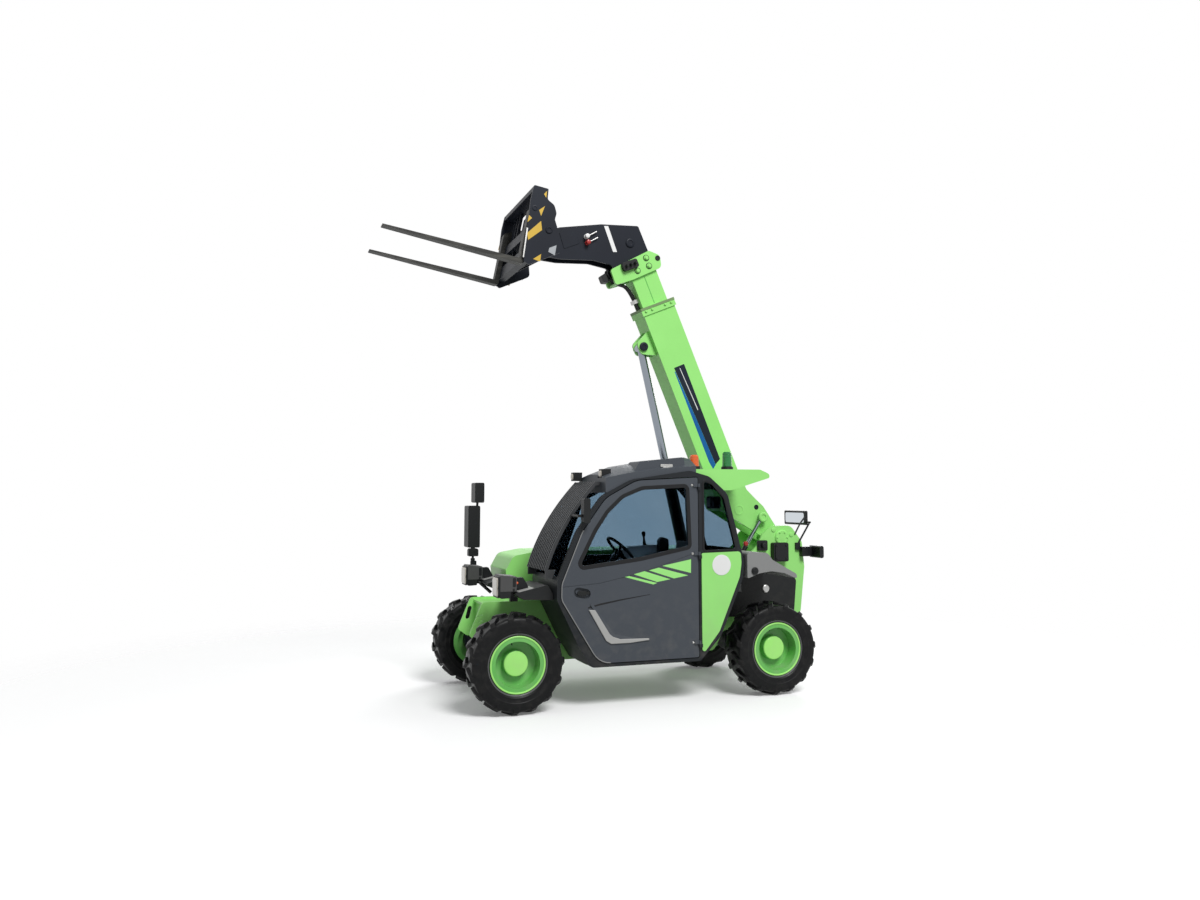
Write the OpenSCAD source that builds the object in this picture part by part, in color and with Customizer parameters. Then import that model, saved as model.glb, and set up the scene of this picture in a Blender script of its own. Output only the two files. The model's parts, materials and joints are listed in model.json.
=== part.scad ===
/* [Wheels] */
// Distance between the front and rear axles
wheelbase = 2440; // [2300:10:2600]
// Distance between the left and right wheel centres
track = 1554; // [1500:2:1620]
// Outer diameter of a tyre at its lug tips
tyre_d = 830; // [790:2:860]
// Width of a tyre
tyre_w = 310; // [280:2:320]
// Number of lugs on each side of a tyre
lug_n = 15; // [12:1:18]
// Height of a lug
lug_h = 24; // [16:1:28]
// Diameter of the rim at the bead seat
rim_d = 410; // [396:2:430]
// Width of the rim between its flanges
rim_w = 256; // [230:2:264]
// Diameter of the rim flange
flange_d = 468; // [450:2:490]
// Diameter of the hub cap
hub_cap_d = 220; // [180:2:260]

/* [Axles] */
// Diameter of the axle tube
axle_d = 150; // [120:2:170]
// Distance of a king pin from the machine's middle plane
king_pin_y = 620; // [600:2:640]
// Diameter of a king pin
king_pin_d = 50; // [36:1:60]
// Diameter of a wheel hub
hub_d = 240; // [200:2:260]
// Diameter of a wheel spindle
spindle_d = 80; // [60:1:100]

/* [Mirrors] */
// Width of the machine over its mirrors
mirror_span = 1970; // [1900:10:2020]
// Height of the top of the tallest mirror
mirror_top = 1945; // [1900:5:1990]

/* [Chassis] */
// Half width of the frame over its side plates
frame_half = 260; // [250:1:280]
// Thickness of a frame side plate
plate_t = 20; // [14:1:26]
// Height of the frame's top edge
frame_top = 870; // [850:1:880]
// Height of the frame's lower edge
frame_low = 330; // [310:1:345]
// Height of the boom pivot
pivot_z = 1394; // [1380:1:1400]
// Diameter of the boom pivot pin
pivot_d = 90; // [70:1:100]

/* [Cab] */
// Outer face of the cab on the door side
cab_out = 900; // [880:1:910]
// Inner face of the cab beside the boom
cab_in = 110; // [105:1:130]
// Gap between the frame and the cab or the hood beside it
side_gap = 10; // [8:1:20]
// Thickness of the cab sides and of the door
side_t = 50; // [40:1:56]
// Thickness of the cab's front, rear and floor
shell_t = 40; // [30:1:44]
// Thickness of the window glass
glass_t = 8; // [5:1:10]
// Gap around the door
door_gap = 8; // [6:1:10]

/* [Boom] */
// Angle of the raised boom above level
boom_angle = 67.5; // [60:0.5:70]
// Middle plane of the boom
boom_y = -50; // [-56:1:-46]
// Width of the outer tube
outer_w = 260; // [250:1:266]
// Height of the outer tube
outer_h = 354; // [340:1:364]
// Wall of the outer tube
outer_wall = 10; // [8:1:14]
// Thickness of a wear pad between the tubes
pad_t = 25; // [20:1:30]
// Wall of the inner tube
inner_wall = 9; // [6:1:14]
// Running gap at the wear pads
pad_gap = 0.5; // [0.3:0.1:0.8]
// Thickness of a boom foot plate
foot_t = 25; // [18:1:28]

/* [Carriage] */
// Upward pitch of the forks
fork_pitch = 11; // [6:0.5:14]
// Length of a fork blade in front of its shank
fork_len = 1245; // [1100:5:1300]
// Width of a fork
fork_w = 100; // [80:1:130]
// Thickness of a fork at its heel
fork_t = 45; // [35:1:50]
// Distance between the fork centres
fork_gap = 982; // [700:2:990]
// Width of the carriage over its side plates
carriage_w = 1140; // [1136:1:1160]

/* [Cylinders] */
// Diameter of the lift barrel
lift_d = 120; // [100:1:130]
// Diameter of the lift rod
lift_rod_d = 76; // [60:1:80]
// Diameter of the level barrel
level_d = 50; // [46:1:54]
// Diameter of the level rod
level_rod_d = 36; // [28:1:40]
// Diameter of the tilt barrel
tilt_d = 90; // [80:1:96]
// Diameter of the tilt rod
tilt_rod_d = 50; // [40:1:56]

/* [Hidden] */
$fn = 64;

// Colours of the finishes
paint = [0.58, 0.78, 0.40];
rim_green = [0.16, 0.55, 0.22];
charcoal = [0.16, 0.17, 0.18];
grey = [0.42, 0.43, 0.44];
black = [0.06, 0.06, 0.07];
steel = [0.75, 0.76, 0.78];
tint = [0.45, 0.55, 0.62, 0.5];

// Inner face of the cab beside the frame
cab_low_in = frame_half + side_gap;
// The middle of the wheelbase lies behind the middle of the whole length
mid_x = -170;
axle_x = wheelbase / 2;
axle_z = tyre_d / 2;
wheel_y = track / 2;
run = 0.3;
// How far a welded piece reaches into the one that carries it
weld = 1;
arc_n = 5;

// Middle of the boom section, below the pivot
boom_drop = 275;
pivot_x = -1651;
outer_from = 470;
outer_to = 2630;
inner_from = 560;
inner_to = 2960;
inner_w = outer_w - 2 * outer_wall - 2 * pad_t;
inner_h = outer_h - 2 * outer_wall - 2 * pad_t;
collar_l = 80;
collar_t = 14;
pad_l = 60;
foot_half = outer_w / 2 + foot_t;

// Pins of the lift, level and tilt cylinders; boom pins are along and across the boom
lift_base = [-840, 750];
lift_pin = [2274, -556];
lift_pin_d = 60;
level_base = [-1096, 962];
level_pin = [244, -64];
level_pin_d = 36;
// Room between the boom's foot plate and the level cylinder beside it
level_gap = 5;
level_y = boom_y + foot_half + level_gap + level_d / 2;
tilt_base = [3275, -333];
tilt_pin = [3655, -1085];
carriage_pin = [3509, -1140];
carriage_pin_d = 60;
nose_w = inner_w;
nose_t = 20;

function xz(p) = [p[0], p[1]];
function unit(v) = v / norm(v);
function at(list, i) = list[(i + len(list)) % len(list)];

// Arc that rounds corner b between a and c; the third value of b is its radius
function corner(a, b, c) =
    let (p = xz(b), r = len(b) > 2 ? b[2] : 0)
    r <= 0 ? [p] :
    let (
        to_a = unit(xz(a) - p),
        to_c = unit(xz(c) - p),
        half = acos(max(-1, min(1, to_a * to_c))) / 2,
        centre = p + unit(to_a + to_c) * r / sin(half),
        first = p + to_a * r / tan(half) - centre,
        last = p + to_c * r / tan(half) - centre,
        start = atan2(first[1], first[0]),
        turn = atan2(cross(first, last), first * last)
    )
    [for (i = [0:arc_n]) centre + r * [cos(start + turn * i / arc_n), sin(start + turn * i / arc_n)]];

// Outline with all its corners rounded
function rounded(pts) = [for (i = [0:len(pts) - 1]) each corner(at(pts, i - 1), pts[i], at(pts, i + 1))];

// Anticlockwise outline moved inwards by d, with its corner radii kept concentric
function left_of(a, b) = let (e = unit(xz(b) - xz(a))) [-e[1], e[0]];
function inset(pts, d) = [
    for (i = [0:len(pts) - 1])
        let (
            n1 = left_of(at(pts, i - 1), pts[i]),
            n2 = left_of(pts[i], at(pts, i + 1)),
            p = xz(pts[i]) + (n1 + n2) * d / (1 + n1 * n2)
        )
        [p[0], p[1], len(pts[i]) > 2 ? max(pts[i][2] - d, 2) : 0]
];

// Distance and direction between two points of the side view
function gap_of(a, b) = norm(b - a);
function slope_of(a, b) = atan2(b[1] - a[1], b[0] - a[0]);
function polar(r, angle) = r * [cos(angle), sin(angle)];
// Outline of a link with a round end about each of two points
function link_outline(a, b, ra, rb) =
    let (s = slope_of(a, b))
    [for (i = [-4:4]) a + polar(ra, s + 180 + i * 22.5), for (i = [-4:4]) b + polar(rb, s + i * 22.5)];
// Boom point in the side view of the whole machine
function boom_point(p) = [
    pivot_x + p[0] * cos(boom_angle) - p[1] * sin(boom_angle),
    pivot_z + p[0] * sin(boom_angle) + p[1] * cos(boom_angle)
];

// Outlines in side view, anticlockwise, each corner with its radius
frame_outline = [
    [axle_x + 277, 584, 30],
    [axle_x + 160, frame_top, 40],
    [-880, frame_top, 100],
    [-1040, 1015, 60],
    [pivot_x + 273, pivot_z - 75, 80],
    [pivot_x + 215, pivot_z + 36, 60],
    [pivot_x + 111, pivot_z + 116, 60],
    [pivot_x - 105, pivot_z + 116, 90],
    [pivot_x - 229, pivot_z - 44, 60],
    [pivot_x - 254, pivot_z - 294, 60],
    [pivot_x - 199, 640, 60],
    [-axle_x - 220, axle_z + 105, 40],
    [-axle_x + 220, axle_z + 105, 60],
    [-axle_x + 330, frame_low, 60],
    [axle_x - 330, frame_low, 60],
    [axle_x - 220, axle_z + 105, 60],
    [axle_x + 190, axle_z + 105, 40]
];

cab_outline = [
    [565, 350, 40], [690, 545, 200], [880, 930, 100], [878, 1085, 120], [700, 1510, 400], [470, 1815, 250],
    [200, 1955, 300], [-368, 2036, 100], [-560, 1985, 120], [-740, 1830, 150], [-905, 1200, 200],
    [-885, 1060, 200], [-660, 560, 200], [-455, 350, 40]
];
cab_floor = 350;

door_rear = -440;
hinge_x = door_rear - door_gap / 2;
hinge_y = cab_out + 18;
hinge_heights = [500, 1280, 1890];
hinge_h = 30;
hinge_d = 24;
hinge_pin_d = 14;
door_outline = [
    [door_rear, 384, 20], [500, 384, 180], [840, 930, 120], [838, 1060, 150], [660, 1490, 400],
    [440, 1790, 250], [150, 1945, 250], [door_rear, 1975, 20]
];
door_window = [
    [-350, 1360, 25], [121, 1268, 60], [690, 1200, 30], [530, 1510, 200], [420, 1670, 150], [280, 1800, 150],
    [100, 1872, 150], [-330, 1893, 30]
];
quarter_window = [[-492, 1312, 30], [-492, 1960, 30], [-590, 1920, 60], [-712, 1790, 80], [-828, 1320, 30]];
quarter_outline = [
    [-470, 400, 20], [-470, 1298, 20], [-862, 1306, 30], [-868, 1200, 150], [-850, 1080, 150],
    [-640, 600, 150]
];
windscreen_cut = [[700, 1120], [1000, 1120], [1000, 1880], [260, 1880], [500, 1500]];
rear_cut = [[-1000, 1330], [-640, 1330], [-560, 1870], [-1000, 1870]];
right_window = [
    [-790, 1260, 60], [580, 1260, 60], [400, 1760, 150], [120, 1900, 120], [-560, 1900, 100],
    [-700, 1740, 100]
];

// Lays a side-view outline between two distances from the middle plane
module prism_y(pts, y0, y1)
    translate([0, y1, 0])
        rotate([90, 0, 0])
            linear_extrude(y1 - y0)
                polygon(pts);

// Round bar across the machine
module bar_y(p, d, y0, y1)
    translate([p[0], y1, p[1]])
        rotate([90, 0, 0])
            cylinder(d = d, h = y1 - y0);

// Box between two opposite corners
module block(low, high)
    translate(low)
        cube(high - low);

module in_frame()
    translate([mid_x, 0, 0])
        children();

// Frame of the boom: along it, across it and up from it
module in_boom()
    in_frame()
        translate([pivot_x, boom_y, pivot_z])
            rotate([0, -boom_angle, 0])
                children();

// Frame of a cylinder that runs from one side-view point to another
module along(a, b, y)
    in_frame()
        translate([a[0], y, a[1]])
            rotate([0, -slope_of(a, b), 0])
                children();

// Both sides of the middle plane
module both_sides()
    for (side = [0, 1])
        mirror([0, side, 0])
            children();

// Side plates; the front horn of the right one has a tall slot, that of the left one three slits
module frame_plates()
    difference() {
        both_sides()
            prism_y(rounded(frame_outline), frame_half - plate_t, frame_half);
        prism_y(link_outline([axle_x + 185, 690], [axle_x + 165, 770], 20, 20),
            -frame_half - 1, -frame_half + plate_t + 1);
        for (z = [660, 710, 760])
            prism_y(link_outline([axle_x + 165, z], [axle_x + 200, z - 12], 7, 7),
                frame_half - plate_t - 1, frame_half + 1);
    }

module frame_cross_members() {
    half = frame_half - plate_t;
    block([axle_x - 180, -half, frame_top - 40], [axle_x + 130, half, frame_top - 20]);
    block([axle_x + 90, -half, axle_z + 150], [axle_x + 110, half, frame_top - 40]);
    block([-axle_x + 350, -half, frame_low], [axle_x - 350, half, frame_low + 20]);
    block([pivot_x - 180, -half, axle_z + 260], [pivot_x - 160, half, pivot_z - 260]);
    block([pivot_x - 160, -half, axle_z + 180], [pivot_x + 150, half, axle_z + 480]);
    bar_y([axle_x - 340, 600], 120, -half, half);
}

// Shelves beside the frame for the cab and for the power block
shelf_t = 30;
block_low = 375;
module frame_shelves() {
    block([-400, frame_half, cab_floor - shelf_t], [500, cab_out - 340, cab_floor]);
    block([-block_half - 20, block_out - 30, block_low - shelf_t], [block_half + 20, -frame_half, block_low]);
}

module frame_pins() {
    half = frame_half - plate_t;
    bar_y([pivot_x, pivot_z], pivot_d, -frame_half - 15, frame_half + 15);
    bar_y([pivot_x, pivot_z], pivot_d + 50, -half, boom_y - foot_half - run);
    bar_y([pivot_x, pivot_z], pivot_d + 50, boom_y + foot_half + run, half);
    bar_y(lift_base, lift_pin_d, -half, half);
    bar_y(lift_base, lift_pin_d + 20, -half, boom_y - 45 - run);
    bar_y(lift_base, lift_pin_d + 20, boom_y + 45 + run, half);
    bar_y(level_base, level_pin_d, level_y - 25, half);
    bar_y(level_base, level_pin_d + 20, level_y + 25 + run, half);
}

module chassis()
    color(paint)
        in_frame() {
            frame_plates();
            frame_cross_members();
            frame_shelves();
            frame_pins();
        }

// Axle beam with a yoke at each end, seated under the frame
module axle(x) {
    ear_in = axle_d / 2 + 20;
    ear_out = ear_in + 40;
    difference() {
        union() {
            bar_y([x, axle_z], axle_d, -king_pin_y + 120, king_pin_y - 120);
            bar_y([x, axle_z], axle_d + 130, -110, 110);
            both_sides() {
                block([x - 90, frame_half - 40, axle_z], [x + 90, frame_half, axle_z + 105]);
                block([x - 60, king_pin_y - 130, axle_z - ear_out],
                    [x + 60, king_pin_y - 78, axle_z + ear_out]);
                for (z = [axle_z + ear_in, axle_z - ear_out]) {
                    block([x - 45, king_pin_y - 130, z], [x + 45, king_pin_y, z + 40]);
                    translate([x, king_pin_y, z])
                        cylinder(r = 45, h = 40);
                }
            }
        }
        both_sides()
            translate([x, king_pin_y, axle_z - ear_out - 1])
                cylinder(d = king_pin_d + 2 * run, h = 2 * ear_out + 2);
    }
}

module front_axle()
    color(charcoal)
        in_frame()
            axle(axle_x);

module rear_axle()
    color(charcoal)
        in_frame()
            axle(-axle_x);

// Knuckle of a wheel on the left: king pin, neck, hub and spindle
module knuckle_left() {
    reach = axle_d / 2 + 20;
    hub_in = king_pin_y + 56;
    hub_out = wheel_y - 12;
    translate([0, king_pin_y, axle_z - reach - 40])
        cylinder(d = king_pin_d, h = 2 * reach + 80);
    translate([0, king_pin_y, axle_z - reach + run])
        cylinder(r = 50, h = 2 * (reach - run));
    bar_y([0, axle_z], 100, king_pin_y, hub_in + 1);
    bar_y([0, axle_z], hub_d, hub_in, hub_out);
    bar_y([0, axle_z], spindle_d, hub_out, hub_out + 55);
}

// Places a left-hand wheel piece at a corner of the machine
module at_corner(x, right)
    in_frame()
        translate([x, 0, 0])
            mirror([0, right, 0])
                children();

module knuckle(x, right)
    color(charcoal)
        at_corner(x, right)
            knuckle_left();

module knuckle_fl() knuckle(axle_x, 0);
module knuckle_fr() knuckle(axle_x, 1);
module knuckle_rl() knuckle(-axle_x, 0);
module knuckle_rr() knuckle(-axle_x, 1);

// Revolves a profile of radius and outward distance about a wheel's axis
module wheel_revolve(pts)
    translate([0, wheel_y, axle_z])
        rotate([-90, 0, 0])
            rotate_extrude($fn = 96)
                polygon(pts);

rim_r = rim_d / 2;
rim_profile = [
    [spindle_d / 2 + run, -12 + run], [rim_r - 14, -12 + run], [rim_r - 14, -rim_w / 2 - 10],
    [flange_d / 2, -rim_w / 2 - 10], [flange_d / 2, -rim_w / 2], [rim_r - run, -rim_w / 2],
    [rim_r - run, rim_w / 2], [flange_d / 2, rim_w / 2], [flange_d / 2, rim_w / 2 + 10],
    [rim_r - 14, rim_w / 2 + 10], [rim_r - 20, 10], [hub_cap_d / 2, 4], [hub_cap_d / 2 - 4, 62],
    [hub_cap_d / 2 - 30, 72], [0, 72], [0, 50], [spindle_d / 2 + run, 50]
];

module rim(x, right)
    color(rim_green)
        at_corner(x, right)
            wheel_revolve(rim_profile);

module rim_fl() rim(axle_x, 0);
module rim_fr() rim(axle_x, 1);
module rim_rl() rim(-axle_x, 0);
module rim_rr() rim(-axle_x, 1);

lug_stations = 4 * lug_n;
tyre_r = tyre_d / 2;
tyre_half = tyre_w / 2;
bead_r = flange_d / 2 + 6;
bead_y = rim_w / 2 - run;
seat_r = rim_r / cos(180 / lug_stations);
// Half of a tyre's section, from its middle out to the bead: radius, distance out and depth of a groove
tyre_section = [
    [tyre_r, 16, lug_h], [tyre_r - 5, tyre_half - 34, lug_h], [tyre_r - 30, tyre_half - 4, lug_h * 0.7],
    [tyre_r - 88, tyre_half, 0], [bead_r, bead_y, 0], [seat_r, bead_y, 0]
];
// Four stations to a pitch: an outer lug lies on the first two, an inner lug on the last two
lug_phase = [0.07, 0.43, 0.57, 0.93];
lug_half = (lug_phase[1] - lug_phase[0]) * 180 / lug_n;
lug_sweep = 0.5;
function lug_angle(i, p) =
    (floor(i / 4) + lug_phase[i % 4] + lug_sweep * (p[1] - 16) / tyre_half) * 360 / lug_n;
function tyre_point(i, p, side) =
    let (
        on_lug = (side > 0) == (i % 4 < 2),
        r = p[2] > 0 ? (p[0] - (on_lug ? 0 : p[2])) / cos(lug_half) : p[0],
        a = p[2] > 0 ? lug_angle(i, p) : (i / 4 + lug_sweep) * 360 / lug_n
    )
    [r * cos(a), r * sin(a), side * p[1]];
section_n = len(tyre_section);
ring_n = 2 * section_n;
tyre_points = [
    for (i = [0:lug_stations - 1]) each [
        for (k = [section_n - 1:-1:0]) tyre_point(i, tyre_section[k], 1),
        for (k = [0:section_n - 1]) tyre_point(i, tyre_section[k], -1)
    ]
];
function ring_at(i, k) = (i % lug_stations) * ring_n + k % ring_n;
tyre_faces = [
    for (i = [0:lug_stations - 1])
        for (k = [0:ring_n - 1]) each [
            [ring_at(i, k), ring_at(i + 1, k), ring_at(i + 1, k + 1)],
            [ring_at(i, k), ring_at(i + 1, k + 1), ring_at(i, k + 1)]
        ]
];

module tyre(x, right)
    color(black)
        at_corner(x, right)
            translate([0, wheel_y, axle_z])
                rotate([-90, 0, 0])
                    polyhedron(tyre_points, tyre_faces);

module tyre_fl() tyre(axle_x, 0);
module tyre_fr() tyre(axle_x, 1);
module tyre_rl() tyre(-axle_x, 0);
module tyre_rr() tyre(-axle_x, 1);

// Battery, motor and pumps under the right hood, as one mass
block_half = 640;
block_out = -860;
block_top = 1060;
module power_block()
    color(charcoal)
        in_frame()
            block([-block_half, block_out, block_low], [block_half, hood_in - hood_wall, block_top]);

// Right hood: a shell around the power block that reaches over both wheels
hood_out = -925;
hood_in = -frame_half - 2 * side_gap;
hood_split = 1110;
hood_top = 1277;
hood_wall = 20;
louvre_n = 9;
louvre_h = 24;
hood_hinges = [-1000, -200, 500];
hood_hinge_y = hood_in + 14;
hood_hinge_l = 40;
hood_hinge_d = 20;
hood_hinge_pin_d = 10;
hood_body_outline = [
    [690, 375, 30], [690, 800, 60], [800, 960, 60], [1020, 985, 40], [1035, hood_split, 0],
    [-1300, hood_split, 0], [-1300, 985, 40], [-800, 960, 60], [-690, 800, 60], [-690, 375, 30]
];
hood_lid_outline = [
    [1032, hood_split, 0], [960, 1240, 80], [740, hood_top, 200], [-1200, hood_top, 80],
    [-1300, hood_split, 0]
];

// Round bar of a hinge along the hood lid's upper inner edge
module hood_hinge(x, d, l)
    translate([x, hood_hinge_y, hood_top])
        rotate([0, 90, 0])
            cylinder(d = d, h = l);

module hood_right()
    color(paint)
        in_frame() {
            difference() {
                prism_y(rounded(hood_body_outline), hood_out, hood_in);
                prism_y(rounded(inset(hood_body_outline, hood_wall)),
                    hood_out + hood_wall, hood_in - hood_wall);
                block([-670, hood_out + hood_wall, 300], [670, hood_in - hood_wall, 500]);
                block([-1270, hood_out + hood_wall, hood_split - 60],
                    [990, hood_in - hood_wall, hood_split + 1]);
                for (i = [0:louvre_n - 1])
                    block([-460, hood_out - 1, 540 + 2 * i * louvre_h],
                        [160, hood_out + 8, 540 + (2 * i + 1) * louvre_h]);
            }
            for (x = hood_hinges) {
                block([x, hood_in - weld, hood_split - 70],
                    [x + hood_hinge_l, hood_hinge_y, hood_split - 20]);
                block([x, hood_in + 6, hood_split - 70], [x + hood_hinge_l, hood_hinge_y, hood_top]);
                hood_hinge(x, hood_hinge_d, hood_hinge_l);
                hood_hinge(x, hood_hinge_pin_d, 2 * hood_hinge_l);
            }
        }

module hood_lid()
    color(paint)
        in_frame() {
            difference() {
                prism_y(rounded(inset(hood_lid_outline, run)), hood_out, hood_in);
                translate([0, 0, -hood_wall])
                    prism_y(rounded(inset(hood_lid_outline, hood_wall)),
                        hood_out + hood_wall, hood_in - hood_wall);
            }
            for (x = hood_hinges)
                difference() {
                    union() {
                        hood_hinge(x + hood_hinge_l + run, hood_hinge_d, hood_hinge_l - run);
                        block([x + hood_hinge_l + run, hood_in - weld, hood_top - hood_hinge_d / 2],
                            [x + 2 * hood_hinge_l, hood_hinge_y, hood_top - run]);
                    }
                    hood_hinge(x, hood_hinge_pin_d + 2 * run, 2 * hood_hinge_l + 1);
                }
        }

// Rear left cowl over the wheel, open below
rear_cowl_outline = [
    [-920, 1300, 30], [-1131, 1286, 60], [-1180, 1222, 40], [-1431, 1087, 30], [-1430, 1045, 10],
    [-1300, 1100, 120], [-1170, 1120, 150], [-1045, 1104, 100], [-920, 1060, 10]
];
// Foot of the cowl on the frame
cowl_foot = [[-1180, frame_half, 880], [-1020, frame_half + 30, 1110]];
module rear_cowl()
    color(grey)
        in_frame() {
            prism_y(rounded(rear_cowl_outline), frame_half + 10, cab_out + 25);
            block(cowl_foot[0], cowl_foot[1]);
        }

// Liner on the frame behind the rear left wheel
liner_t = 8;
liner_outline = [
    [-1700, 640, 30], [-960, 640, 30], [-960, 960, 60], [-1060, 1075, 60], [-1330, 1085, 80],
    [-1560, 1040, 90],
    [-1720, 880, 60]
];
module arch_liner()
    color(black)
        in_frame()
            difference() {
                prism_y(rounded(liner_outline), frame_half, frame_half + liner_t);
                block(cowl_foot[0] - [run, run, run], cowl_foot[1] + [run, run, run]);
            }

lamp_y = 663;
front_cowl_outline = [[858, 923, 10], [1141, 934, 20], [1229, 987, 10], [930, 1053, 20]];
module front_cowl()
    color(black)
        in_frame()
            difference() {
                both_sides() {
                    prism_y(rounded(front_cowl_outline), frame_half, 800);
                    block([1060, frame_half - plate_t, frame_top], [1130, frame_half + 20, 960]);
                    block([1150, lamp_y - 30, 960], [1240, lamp_y + 30, 1000]);
                }
                block([800, -900, 900], [1045, -100, 1200]);
                prism_y(rounded(inset(cab_outline, -4)), 100, cab_out);
            }

// Sides, front, rear and floor of the cab as one hollow frame
module cab_openings() {
    prism_y(rounded(inset(door_outline, -door_gap)), cab_out - side_t - 1, cab_out + 1);
    prism_y(rounded(quarter_window), cab_out - side_t - 1, cab_out + 1);
    prism_y(rounded(right_window), cab_in - 1, cab_in + side_t + 1);
    prism_y(windscreen_cut, cab_in + 60, cab_out - 60);
    prism_y(rear_cut, cab_in + 60, cab_out - 60);
    block([-420, cab_in + 40, 1880], [200, cab_out - 40, 2100]);
}

module cab_hinges()
    for (z = hinge_heights) {
        block([hinge_x - hinge_d, cab_out - 1, z - hinge_h], [hinge_x, hinge_y + 6, z]);
        translate([hinge_x, hinge_y, z - hinge_h]) {
            cylinder(d = hinge_d, h = hinge_h);
            cylinder(d = hinge_pin_d, h = 2 * hinge_h);
        }
    }

module cab_frame()
    color(charcoal)
        in_frame() {
            difference() {
                prism_y(rounded(cab_outline), cab_in, cab_out);
                prism_y(rounded(inset(cab_outline, shell_t)), cab_in + side_t, cab_out - side_t);
                cab_openings();
                block([-1000, cab_in - 1, 300], [1000, cab_low_in, frame_top + 40]);
            }
            cab_hinges();
            intersection() {
                prism_y(rounded(inset(cab_outline, shell_t / 2)), cab_in, cab_out - side_t / 2);
                union() {
                    block([-1000, cab_low_in, 340], [1000, cab_low_in + 30, frame_top + 70]);
                    block([-1000, cab_in, frame_top + 40], [1000, cab_low_in + 30, frame_top + 70]);
                }
            }
        }

// Crowned roof panel on top of the cab
module roof_slice(x, edge, crown)
    translate([x, 0, 0])
        rotate([90, 0, 90])
            linear_extrude(2)
                polygon([
                    [cab_in + 20, edge - 130], [cab_out - 20, edge - 130], [cab_out - 20, edge],
                    [cab_out - 160, crown - 20], [cab_out - 300, crown], [cab_in + 300, crown],
                    [cab_in + 160, crown - 20], [cab_in + 20, edge]
                ]);
roof_front = 433;
// Flat locker on the roof
locker_outline = [[-340, 2030, 8], [-330, 2160, 25], [106, 2118, 30], [150, 2030, 8]];
module roof_shell()
    hull() {
        roof_slice(roof_front - 2, 1970, 2005);
        roof_slice(238, 2010, 2077);
        roof_slice(-60, 2050, 2126);
        roof_slice(-437, 2080, 2167);
    }
module cab_roof()
    color(charcoal)
        in_frame()
            difference() {
                union() {
                    roof_shell();
                    prism_y(rounded(locker_outline), 600, cab_out - 48);
                }
                prism_y(rounded(cab_outline), cab_in - 10, cab_out + 10);
                block([-380, cab_in + 80, 1700], [160, cab_out - 80, 2010]);
                block([340, 667, roof_lamp_z], [roof_front + 1, 773, 2200]);
            }

// Painted tail that carries the beacons behind the roof
fin_top = 2052;
fin_outline = [
    [-440, 1990, 0], [-440, fin_top, 0], [-1101, fin_top, 80], [-1200, 2010, 30], [-1196, 1975, 15],
    [-800, 1860, 20],
    [-700, 1860, 0]
];
module roof_fin()
    color(paint)
        in_frame()
            difference() {
                prism_y(rounded(fin_outline), cab_in + 40, 860);
                prism_y(rounded(cab_outline), cab_in - 10, cab_out + 10);
                translate([0, 0, -30])
                    prism_y(rounded(inset(fin_outline, 24)), cab_in + 64, 836);
            }

module quarter_panel()
    color(paint)
        in_frame()
            prism_y(rounded(quarter_outline), cab_out, cab_out + 10);

// Glass bands follow the cab outline inside its shell
module glass_band(y0, y1)
    difference() {
        prism_y(rounded(inset(cab_outline, 12)), y0, y1);
        prism_y(rounded(inset(cab_outline, 12 + glass_t)), y0 - 1, y1 + 1);
    }

module windscreen()
    color(tint)
        in_frame()
            intersection() {
                glass_band(cab_in + 60, cab_out - 60);
                prism_y(windscreen_cut, 0, 1000);
            }

module cab_glass()
    color(tint)
        in_frame() {
            intersection() {
                glass_band(cab_in + 60, cab_out - 60);
                prism_y(rear_cut, 0, 1000);
            }
            prism_y(rounded(quarter_window), cab_out - 20, cab_out - 20 + glass_t);
            prism_y(rounded(right_window), cab_in + 10, cab_in + 10 + glass_t);
        }

// Guard of curved bars in front of the windscreen, held together by three ties
guard_low = [930, 1165];
guard_mid = [755, 1560];
guard_top = [470, 1930];
guard_right = cab_in + 40;
guard_left = cab_out - 166;
guard_steps = 12;
guard_bars = 12;
guard_bar = 18;
guard_pitch = (guard_left - guard_right - guard_bar) / (guard_bars - 1);
function guard_point(t) =
    (1 - t) * (1 - t) * guard_low + 2 * t * (1 - t) * (2 * guard_mid - (guard_low + guard_top) / 2)
        + t * t * guard_top;
function guard_normal(t) = left_of(guard_point(t - 0.01), guard_point(t + 0.01));
guard_depth = 30;
guard_edge = [
    for (i = [0:guard_steps]) guard_point(i / guard_steps) - guard_normal(i / guard_steps) * guard_depth / 2,
    for (i = [guard_steps:-1:0]) guard_point(i / guard_steps)
        + guard_normal(i / guard_steps) * guard_depth / 2
];
module windscreen_guard()
    color(black)
        in_frame()
            difference() {
                union() {
                    for (i = [0:guard_bars - 1])
                        translate([0, guard_right + i * guard_pitch, 0])
                            prism_y(guard_edge, 0, guard_bar);
                    for (t = [0.04, 0.5, 0.96])
                        bar_y(guard_point(t), guard_depth * 0.6, guard_right, guard_left);
                    for (y = [guard_right, guard_left - 20]) {
                        block([700, y, 1100], [935, y + 20, 1175]);
                        block([roof_front, y, 1905], [475, y + 20, 1935]);
                    }
                }
                prism_y(rounded(cab_outline), cab_in, cab_out);
            }

// Seat with a cushion, a back rest and a pedestal
seat_y = 575;
seat_half = 240;
seat_low = 760;
floor_top = cab_floor + shell_t;
cushion_outline = [[-470, seat_low, 20], [10, seat_low, 40], [10, seat_low + 120, 50],
    [-470, seat_low + 100, 40]];
back_outline = [[-440, 862, 30], [-330, 862, 30], [-440, 1420, 50], [-560, 1400, 50]];
module seat()
    color(black)
        in_frame() {
            block([-430, seat_y - seat_half + 40, floor_top], [-60, seat_y + seat_half - 40, seat_low]);
            prism_y(rounded(cushion_outline), seat_y - seat_half, seat_y + seat_half);
            prism_y(rounded(back_outline), seat_y - seat_half + 10, seat_y + seat_half - 10);
        }

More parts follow.
